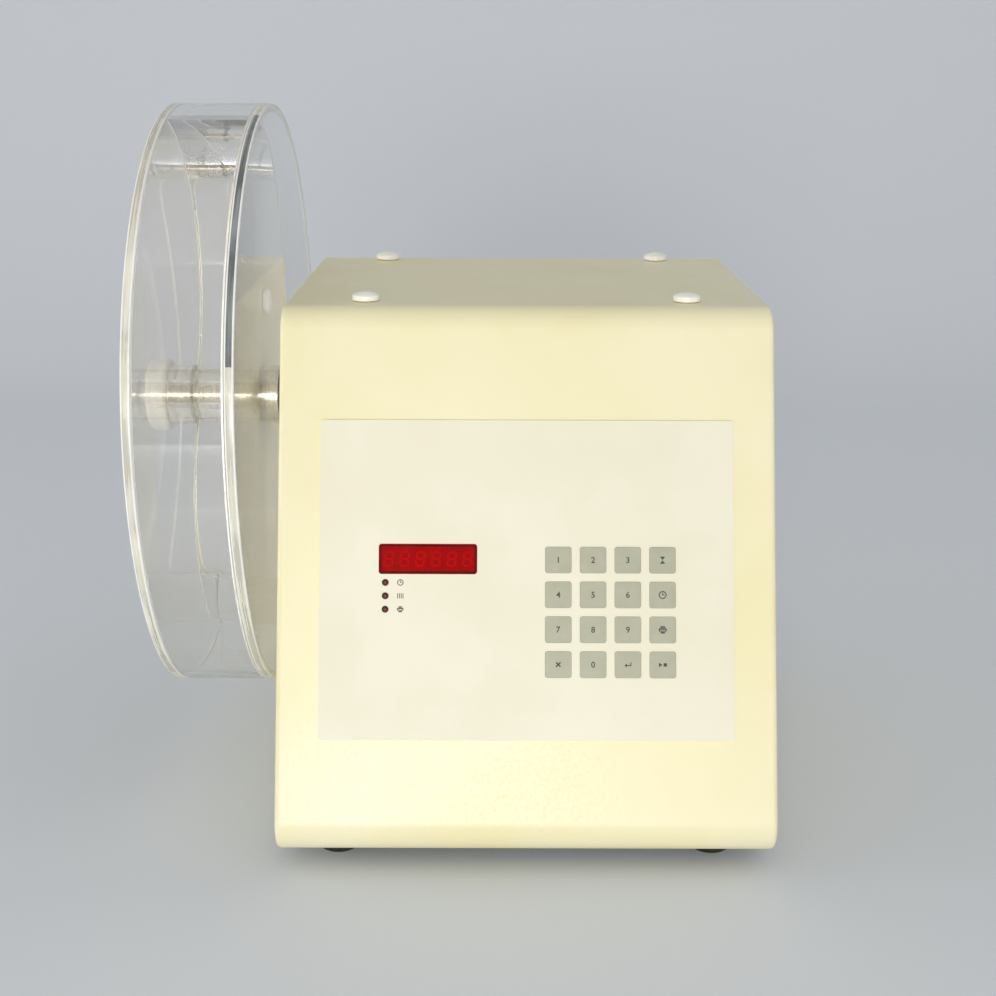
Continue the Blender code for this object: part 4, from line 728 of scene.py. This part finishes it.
def makeLamps():
    r, high, low, inner = lamps["radius"], lamps["high"], lamps["low"], lamps["radius"] - lamps["wall"]
    dome = turned(rounded([(0, high, 0), (inner - 0.02, high - 0.05, 0.35), (inner - 0.02, low, 0),
                           (0, low, 0)], 6), 32)
    collar = turned(rounded([(inner, high - 0.45, 0), (inner + 0.15, high - 0.2, 0.1), (r, high - 0.25, 0.2),
                             (r, low, 0), (inner, low, 0)], 3), 32, ring=True)
    place = frontPlace @ at(lamps["x"], lamps["y"] - lamps["pitch"])
    nodes = ["status_led_%d" % (index + 1) for index in range(lamps["count"])]
    for name, shape, finish, stands in (("lampLenses", dome, "lampEpoxy", nodes),
                                        ("lampCollars", collar, "lampCollar", ())):
        copies = inRows(shape, finish, 1, lamps["count"], 0, lamps["pitch"])
        piece(name, copies, place, [finish], stands)


makeDisplay()
makeLamps()
print("display and lamps made")


# Keys: sixteen printed key tops, each riding on its own body

inkLow, inkHigh = keys["high"] - 0.02, keys["high"] + 0.025
for name, (x, y) in keyPlaces.items():
    cap = plate([rectangle(keys["size"], keys["size"], keys["corner"])], keys["low"], keys["high"],
                keys["edge"], 3)
    if name in signs:
        printed = signShapes(name, keys["signSize"], inkLow, inkHigh)
    else:
        printed = [lettering(name, keys["digitSize"], inkLow, inkHigh)]
    piece("key_" + name + "_top", joined((0, [cap]), (1, printed)), frontPlace @ at(x, y),
          ["greyKeyFilm", "printedInk"], ["key_" + name], "button_" + name)
print("keys made")


# Drum: rim, two discs, hub and two curved baffles of clear acrylic

drum = dict(bore=143.5, outer=146.5, hub=12.5, shaftBore=5.06, edge=0.9, collarEdge=0.35, steps=256,
            collarRadius=15.2, collar=10.8, baffleRadius=76.0, baffleOffset=8.0, baffleCentre=130.5,
            baffle=3.0, seat=0.12, ringRadius=1.0, groove=2.3, grooveSide=0.3, rimEdge=0.15, rimFootEdge=0.2,
            cement=1.2, paintedShadeFrom=17.5, paintedShadeTo=76.0, near=0.05)


def baffleOutline(fromRadius, toRadius):  # an arc about an off-axis centre, between two radii of the drum
    centreAngle = math.radians(drum["baffleCentre"])
    distance = drum["baffleRadius"] + drum["baffleOffset"]
    centre = distance * math.cos(centreAngle), distance * math.sin(centreAngle)
    sides = []
    for radius in (drum["baffleRadius"], drum["baffleRadius"] + drum["baffle"]):
        ends = [centreAngle - math.acos((reach ** 2 - distance ** 2 - radius ** 2) / (2 * distance * radius))
                for reach in (fromRadius, toRadius)]
        sides.append(arc(radius, *ends, 48, *centre))
    return sides[0] + sides[1][::-1]


def edgeFaces(shape, tests):  # each face gets the number of the first test that its middle meets, or else 0
    for face in shape.faces:
        spot = face.calc_center_median()
        face.material_index = next((number for number, test in tests.items() if test(spot)), 0)
    return shape


def inPaintedShadeStretch(spot):  # the back disc's edge is polished and painted darker between two angles above level, at the front: painted shade
    return drum["paintedShadeFrom"] < math.degrees(math.atan2(-spot.x, -spot.y)) < drum["paintedShadeTo"]


def makeDrum():
    clear = ["castAcrylic", "sawnAcrylicEdge", "scrapedAcrylicCorner"]
    d, outer, bore, edge, near = drum, drum["outer"], drum["bore"], drum["edge"], drum["near"]
    shaftBore, collarRadius, collarEdge = d["shaftBore"], d["collarRadius"], d["collarEdge"]
    for name, node, body in (("drumBackDisc", "drum_back_disc", "drum"),
                             ("drumCoverDisc", "drum_cover_disc", "drum_cover")):
        low, high = nodeBox(node)
        isBack = body == "drum"
        flat = low.x + (0 if isBack else d["collar"])  # the disc's left face; only the cover has a collar
        collar = [] if isBack else [(collarRadius, flat, 0.2), (collarRadius, low.x, collarEdge)]
        disc = turned(rounded([(shaftBore, high.x, 0.3), (outer, high.x, edge), (outer, flat, edge)] + collar
                              + [(shaftBore, low.x, 0.3)], 2), d["steps"], ring=True)
        # finish 4, the polished stretch of the back disc's edge, is painted darker as shade
        edgeFaces(disc, {
            1: lambda spot: spot.xy.length > outer - near and not (isBack and inPaintedShadeStretch(spot)),
            2: lambda spot: outer - edge < spot.xy.length < outer - near
            or spot.z < low.x + collarEdge < flat and spot.xy.length > collarRadius - collarEdge,
            3: lambda spot: spot.z < flat and collarRadius - near < spot.xy.length < outer / 2,
            4: lambda spot: spot.xy.length > outer - near})
        piece(name, disc, shaftPlace, clear + ["turnedAcrylic", "polishedAcrylicEdge"], [node], body)

    low, high = rimLow.x - housing["seat"] + d["seat"], rimHigh.x + housing["seat"] - d["seat"]
    upper, lower = d["rimEdge"], d["rimFootEdge"]
    rim = turned(rounded([(bore, high, upper), (outer, high, upper), (outer, low, lower),
                          (bore, low, lower)], 2), d["steps"], ring=True)
    edgeFaces(rim, {2: lambda spot: not low + lower < spot.z < high - upper})
    piece("drumRim", rim, shaftPlace, clear, ["drum_rim"], "drum")

    ringBox = nodeBox("hub_o_ring")
    ringHigh, ringLow = ringBox[1].x + d["grooveSide"], ringBox[0].x - d["grooveSide"]
    grooveRadius = shaftBore + d["groove"]
    hub = turned([(shaftBore, high), (d["hub"], high), (d["hub"], low), (shaftBore, low),
                  (shaftBore, ringLow), (grooveRadius, ringLow), (grooveRadius, ringHigh),
                  (shaftBore, ringHigh)], 128, ring=True)
    edgeFaces(hub, {1: lambda spot: not low + near < spot.z < high - near,
                    2: lambda spot: spot.xy.length > d["hub"] - near})
    piece("drumHub", hub, shaftPlace, clear[:2] + ["turnedAcrylic"], ["drum_hub"], "drum")

    middle, ring = (ringBox[0].x + ringBox[1].x) / 2, d["ringRadius"]
    section = [(shaftBore + ring * (1 + math.sin(2 * math.pi * step / 20)),
                middle + ring * math.cos(2 * math.pi * step / 20)) for step in range(20)]
    piece("hubRing", turned(section, 64, ring=True), shaftPlace, ["mouldedRubber"], ["hub_o_ring"], "drum")

    half = (high - low) / 2
    for name, node, turn in (("baffleUpper", "baffle_upper", tipped(90, 90)),
                             ("baffleLower", "baffle_lower", tipped(-90, -90))):
        baffle = plate([baffleOutline(d["hub"] + d["seat"], bore - d["seat"])], -half, half, 0.2)
        edgeFaces(baffle, {1: lambda spot: abs(spot.z) > half - 0.2})
        piece(name, baffle, at((high + low) / 2, axisY, axisZ) @ turn, clear, [node], "drum")

    # the cement has crept out along the inner corner of the rim and round the hub's foot
    creep, foot = d["cement"], high - 0.02
    cement = [turned([(radius, foot), (radius + out * creep, foot), (radius, high - creep)], d["steps"],
                     ring=True)
              for radius, out in ((bore, -1), (d["hub"], 1))]
    piece("drumCement", joined((0, cement)), shaftPlace, ["solventCement"], (), "drum")


makeDrum()
print("drum made")


# Shaft and clamp knob; their corners are (radius, place along the shaft, rounding)

shaft = dict(radius=4.7625, journal=5.0, shoulder=15.0, shoulderLeft=-87.5, shoulderRight=-81.5, tail=4.0,
             tailLength=16.0, undercut=1.0, undercutLeft=-129.6, undercutRight=-127.0, chamfer=1.0)
knob = dict(radius=18.5, edge=2.0, bore=5.06, boreDepth=6.2, dish=0.6, dishRadius=12.0, dishSlope=1.5)


def makeShaft():
    s, r, journal, shoulder = shaft, shaft["radius"], shaft["journal"], shaft["shoulder"]
    low, high = nodeBox("drive_spindle")
    tailLeft, neck = high.x - s["tailLength"], r - s["undercut"]
    outline = rounded([(0, high.x, 0), (s["tail"], high.x, 0.6), (s["tail"], tailLeft, 0.3),
                       (journal, tailLeft, 0.3), (journal, s["shoulderRight"], 0.4),
                       (shoulder, s["shoulderRight"], 0.6), (shoulder, s["shoulderLeft"], 0.6),
                       (r, s["shoulderLeft"], 0.3), (r, s["undercutRight"], 0.2),
                       (neck, s["undercutRight"], 0.2), (neck, s["undercutLeft"], 0.2),
                       (r, s["undercutLeft"], 0.2), (r, low.x + s["chamfer"], 0.2),
                       (r - s["chamfer"], low.x, 0), (0, low.x, 0)], 3)
    piece("driveSpindle", turned(outline), shaftPlace, ["groundSteel"], ["drive_spindle"], "spindle")

    k, r, edge, dish = knob, knob["radius"], knob["edge"], knob["dishRadius"]
    low, high = nodeBox("clamp_knob")
    boreEnd, sunk = high.x - k["boreDepth"], low.x + k["dish"]
    outline = rounded([(0, boreEnd, 0), (k["bore"], boreEnd, 0), (k["bore"], high.x, 0.4), (r, high.x, edge),
                       (r, low.x, edge), (dish, low.x, 0.8), (dish - k["dishSlope"], sunk, 0.8),
                       (0, sunk, 0)], 6)
    piece("clampKnob", turned(outline, 128), shaftPlace, ["mouldedNylon"], ["clamp_knob"], "knob")


makeShaft()
print("shaft and knob made")


# Rear panel, base and feet

rear = dict(ventWidth=60.0, ventHeight=3.0, ventPitch=8.0, ventDrop=30.0, vents=6, corner=1.5, screwInset=7.0,
            screwDrop=8.0,
            # x, z, width, height and corner of each opening
            inlet=(109.8, 50.3, 27.6, 20.6, 1.0), switch=(71.8, 50.3, 13.6, 19.6, 1.0),
            port=(26.8, 50.3, 19.6, 10.6, 1.5))
base = dict(ventLength=50.0, ventWidth=8.0, ventPitch=14.0, vents=6, corner=1.5, screwInset=6.0,
            screwDrop=8.0)
screw = dict(head=2.8, height=1.7, slot=0.75, slotLength=3.2, slotDepth=1.1)
foot = dict(top=10.0, topRadius=11.5, radius=9.5, hole=3.4, holeDepth=4.0)


def screwsOn(sheet, width, height, seed):  # pan heads with a cross recess, in two columns of three
    h, head = screw["height"], screw["head"]
    shape = turned(rounded([(0, h, 0), (head * 0.75, h * 0.92, 0.6), (head, h * 0.3, 0.5), (head, 0, 0),
                            (0, 0, 0)], 5), 32)
    cross = [block(*size, screw["slotDepth"] * 2, z=h) for size in
             ((screw["slot"], screw["slotLength"]), (screw["slotLength"], screw["slot"]))]
    return inRows(combined(shape, cross), "zincPlatedSteel", 2, 3, width - 2 * sheet["screwInset"],
                  height / 2 - sheet["screwDrop"], turn=3.1, seed=seed)


def makeRear():
    low, high = nodeBox("rear_panel")
    middleZ = (low.z + high.z) / 2
    width, height = high.x - low.x, high.z - low.z
    outlines = [rectangle(width, height, rear["corner"])]
    for x, z, holeWidth, holeHeight, corner in (rear["inlet"], rear["switch"], rear["port"]):
        outlines.append(rectangle(holeWidth, holeHeight, corner, middleX - x, z - middleZ))
    for index in range(rear["vents"]):
        y = high.z - rear["ventDrop"] - index * rear["ventPitch"] - middleZ
        outlines.append(rectangle(rear["ventWidth"], rear["ventHeight"], rear["ventHeight"] / 2 - 0.01, 0, y))
    place = rearPlace(middleX, middleZ)
    piece("rearPanel", plate(outlines, low.y - back, 0, 0.2), place, ["powderCoatedSteel"], ["rear_panel"])
    piece("rearScrews", screwsOn(rear, width, height, 11), place, ["zincPlatedSteel"])

    low, high = nodeBox("base_plate")
    width, depth = high.x - low.x, high.y - low.y
    outlines = [rectangle(width, depth, base["corner"])]
    for index in range(base["vents"]):
        y = (index - (base["vents"] - 1) / 2) * base["ventPitch"]
        outlines.append(rectangle(base["ventLength"], base["ventWidth"], base["ventWidth"] / 2 - 0.01, 0, y))
    centre = at((low.x + high.x) / 2, (low.y + high.y) / 2, low.z)
    piece("basePlate", plate(outlines, 0, high.z - low.z, 0.2), centre, ["zincPlatedSteel"], ["base_plate"])
    piece("baseScrews", screwsOn(base, width, depth, 23), centre @ spin(180, "X"), ["zincPlatedSteel"])


def makeFeet():
    f, high, hole = foot, foot["top"], foot["hole"]
    shape = turned(rounded([(0, high, 0), (f["topRadius"], high, 0.8), (f["radius"], 0, 1.5), (hole, 0, 0.6),
                            (hole, f["holeDepth"], 0.3), (0, f["holeDepth"], 0)], 4), 64)
    nodes = ["foot_front_left", "foot_front_right", "foot_rear_left", "foot_rear_right"]
    atCorners("rubberFeet", shape, "mouldedRubber", nodes, 0, "black_rubber")


makeRear()
makeFeet()
print("rear, base and feet made")


# Rear connections

inlet = dict(width=27.0, height=20.0, flangeWidth=32.0, flangeHeight=25.0, flangeCorner=2.5, flangeEdge=0.4,
             flangeLow=0.05, flangeHigh=2.8, depth=18.0, recessWidth=23.0, recessHeight=16.5,
             recessDepth=15.5, recessCut=4.5, pinWidth=2.0, pinHeight=4.0, pinPitch=7.0, pinLength=12.0,
             pinsUp=(1.0, 2.0, 1.0))
switch = dict(width=13.0, height=19.0, flangeWidth=16.0, flangeHeight=22.0, flangeCorner=1.2, flangeEdge=0.5,
              flangeLow=0.05, flangeHigh=2.3, depth=14.0, pocketWidth=10.0, pocketHeight=15.6,
              pocketDepth=10.0, half=7.0, rise=2.1, root=4.0, pivotDepth=1.0, tilt=10.0, sideGap=0.35,
              markPlace=0.62)
port = dict(width=19.0, height=10.0, flangeWidth=31.0, flangeHeight=12.5, flangeLow=0.05, flangeHigh=1.5,
            depth=8.0, shellWidth=16.5, shellHeight=8.3, shellHigh=7.0, taper=1.0, corner=1.6, wall=0.5,
            pin=0.5, pinPitch=2.77, pinRow=1.42, nut=2.4, nutHeight=4.0, nutPlace=12.5, nutHole=1.3)


def housed(c, outline, floor):  # a flange with a body behind it and a pocket down to a floor
    flange = plate([rectangle(c["flangeWidth"], c["flangeHeight"], c["flangeCorner"])], c["flangeLow"],
                   c["flangeHigh"], c["flangeEdge"], 3)
    body = block(c["width"], c["height"], c["depth"] - 1, z=c["flangeHigh"] - 1 - (c["depth"] - 1) / 2)
    return combined(combined(flange, [body], "UNION"), [plate([outline], floor, c["flangeHigh"] + 2)])


def makeInlet():
    i, half, high, cut = inlet, inlet["recessWidth"] / 2, inlet["recessHeight"] / 2, inlet["recessCut"]
    outline = rounded([(-half, -high, 1.2), (half, -high, 1.2), (half, high - cut, 0.8),
                       (half - cut, high, 0.8), (cut - half, high, 0.8), (-half, high - cut, 0.8)], 4)
    root = i["flangeHigh"] - i["recessDepth"]
    shell = housed(i, outline, root)
    pins = [block(i["pinWidth"], i["pinHeight"], i["pinLength"] + 1, x=side * i["pinPitch"], y=up,
                  z=root + (i["pinLength"] - 1) / 2, edge=0.4) for side, up in zip((-1, 0, 1), i["pinsUp"])]
    piece("powerInlet", joined((0, [shell]), (1, pins)), rearPlace(*rear["inlet"][:2]),
          ["texturedAbs", "zincPlatedSteel"], ["power_inlet"])


def makeSwitch():
    s, half, rise, place = switch, switch["half"], switch["rise"], rearPlace(*rear["switch"][:2])
    shell = housed(s, rectangle(s["pocketWidth"], s["pocketHeight"], 0.4), s["flangeHigh"] - s["pocketDepth"])
    piece("switchFrame", shell, place, ["texturedAbs"], ["switch_frame"])

    dip = rise - half * math.tan(math.radians(s["tilt"]))
    face = [(half * share, dip + (rise - dip) * share ** 2) for share in [1 - step / 8 for step in range(17)]]
    outline = arc(s["root"], math.pi, 2 * math.pi, 16) + [(half, 0)] + face + [(-half, 0)]
    width = s["pocketWidth"] / 2 - s["sideGap"]
    rocker = placed(plate([outline], -width, width, 0.25), tipped(90, 90))
    marks = []  # I and O, on the hollow face
    for share, outlines in ((s["markPlace"], [rectangle(0.5, 2.4)]),
                            (-s["markPlace"], [circle(1.2, steps=32), circle(0.8, steps=32)])):
        slope = math.atan2(2 * (rise - dip) * share / half, 1)
        marks.append(placed(plate(outlines, -0.06, 0.06), at(0, half * share, dip + (rise - dip) * share ** 2)
                            @ Matrix.Rotation(slope, 4, "X")))
    hinge = place @ at(0, 0, s["flangeHigh"] - s["pivotDepth"]) @ spin(s["tilt"], "X")
    piece("powerRocker", joined((0, [rocker]), (1, marks)), hinge, ["texturedAbs", "mouldedNylon"],
          ["power_rocker"], "rocker")


def shellOutline(inset):
    half, high, taper = port["shellWidth"] / 2 - inset, port["shellHeight"] / 2 - inset, port["taper"]
    corner = port["corner"] - inset
    return rounded([(-half + taper, -high, corner), (half - taper, -high, corner), (half, high, corner),
                    (-half, high, corner)], 5)


def makePort():
    p, level, tip, nutPlace = port, port["flangeHigh"], port["shellHigh"] - 1, port["nutPlace"]
    screwHoles = [circle(p["nutHole"], side * nutPlace, 0, 24) for side in (-1, 1)]
    flange = plate([rectangle(p["flangeWidth"], p["flangeHeight"], 1.5)] + screwHoles,
                   p["flangeLow"], level, 0.2)
    shell = plate([shellOutline(0), shellOutline(p["wall"])], 0.4, p["shellHigh"], 0.15)
    body = block(p["width"], p["height"], p["depth"] - 2, z=-(p["depth"] - 2) / 2, edge=0.3)
    insert = plate([shellOutline(p["wall"] + 0.05)], 0, level + 0.8, 0.1)
    pins = []
    for count, y in ((5, p["pinRow"]), (4, -p["pinRow"])):
        for index in range(count):
            pin = turned(rounded([(0, tip, 0), (p["pin"], tip, 0.4), (p["pin"], 0.5, 0), (0, 0.5, 0)], 3), 16)
            pins.append(moved(pin, (index - (count - 1) / 2) * p["pinPitch"], y))
    nuts = [moved(plate([circle(p["nut"], steps=6), circle(p["nutHole"], steps=24)], level,
                        level + p["nutHeight"], 0.2), side * nutPlace) for side in (-1, 1)]
    piece("printerPort", joined((0, [flange, shell] + nuts), (1, [body, insert]), (2, pins)),
          rearPlace(*rear["port"][:2]), ["zincPlatedSteel", "texturedAbs", "groundSteel"], ["printer_port"])


makeInlet()
makeSwitch()
makePort()
print("rear connections made")


# Parts inside the housing keep the frame's shapes and take their own finishes

insideFinishes = {
    "zincPlatedSteel": ["drive_bracket", "gearbox"],
    "turnedAluminium": ["bearing_housing", "shaft_coupling", "drive_motor"],
    "groundSteel": ["drum_side_bearing", "motor_side_bearing", "motor_output_shaft"],
    "texturedAbs": ["count_disc", "count_sensor"],
    "varnishedLaminations": ["mains_transformer"],
    "greenCircuitBoard": ["control_board"],
}
for finish, nodes in insideFinishes.items():
    for node in nodes:
        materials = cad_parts[node].data.materials
        materials.clear()
        materials.append(finishes[finish])
print("inner parts finished")


# Floor, light and camera, in metres but for the camera's place

studio = dict(floor="#e6eaee", backdropY=1.7, size=5.0, bend=0.9, worldLight=0.53, keyPower=16.3,
              keySize=0.48, keyPlace=(-0.085, -1.95, 0.33), aim=(0.0, -0.05, 0.12), fillPower=3.0,
              fillSize=0.6, fillPlace=(-1.6, -0.25, 0.35))
lens = dict(place=(23.47, -764.96, 362.02), pitch=73.66, yaw=-0.07, roll=0.2, length=54.63, sensor=36.0)


def makeStudio():
    # a sheet of paper that lies flat under the object and curves up behind it
    s, scene, size, bend = studio, bpy.context.scene, studio["size"], studio["bend"]
    profile = ([(-size, 0.0)] + arc(bend, -math.pi / 2, 0, 24, s["backdropY"] - bend, bend)
               + [(s["backdropY"], size)])
    shape = bmesh.new()
    rails = [[shape.verts.new((x, y, z)) for y, z in profile] for x in (-size, size)]
    for index in range(len(profile) - 1):
        shape.faces.new([rails[0][index], rails[1][index], rails[1][index + 1], rails[0][index + 1]])
    floor = workObject(toMesh(shape))
    floor.name = "studioPaper"
    floor.data.shade_smooth()
    paper = bpy.data.materials.new("seamlessPaper")
    paper.use_nodes = True
    feed(paper.node_tree.nodes["Principled BSDF"], {"Base Color": toLinear(s["floor"]), "Roughness": 0.9})
    floor.data.materials.append(paper)

    scene.world = bpy.data.worlds.new("studioWorld")
    scene.world.use_nodes = True
    feed(scene.world.node_tree.nodes["Background"], {"Color": (1, 1, 1, 1), "Strength": s["worldLight"]})

    for name in ("key", "fill"):
        lamp = bpy.data.lights.new(name + "Softbox", "AREA")
        lamp.energy = s[name + "Power"]
        lamp.size = s[name + "Size"]
        softbox = workObject(lamp)
        softbox.name = name + "Softbox"
        softbox.visible_transmission = False  # no lamp shows as a white square through the drum
        softbox.location = s[name + "Place"]
        aim = Vector(s["aim"]) - Vector(s[name + "Place"])
        softbox.rotation_euler = aim.to_track_quat("-Z", "Y").to_euler()

    view = bpy.data.cameras.new("camera")
    view.lens = lens["length"]
    view.sensor_width = lens["sensor"]
    camera = scene.camera = workObject(view)
    camera.name = "camera"
    camera.matrix_world = (Matrix.Translation(Vector(lens["place"]) * mm) @ spin(lens["yaw"], "Z")
                           @ spin(lens["pitch"], "X") @ spin(lens["roll"], "Z"))
    scene.view_settings.view_transform = "Standard"
    scene.cycles.max_bounces = 24
    scene.cycles.transmission_bounces = 24
    scene.cycles.transparent_max_bounces = 24


makeStudio()
print("studio made")
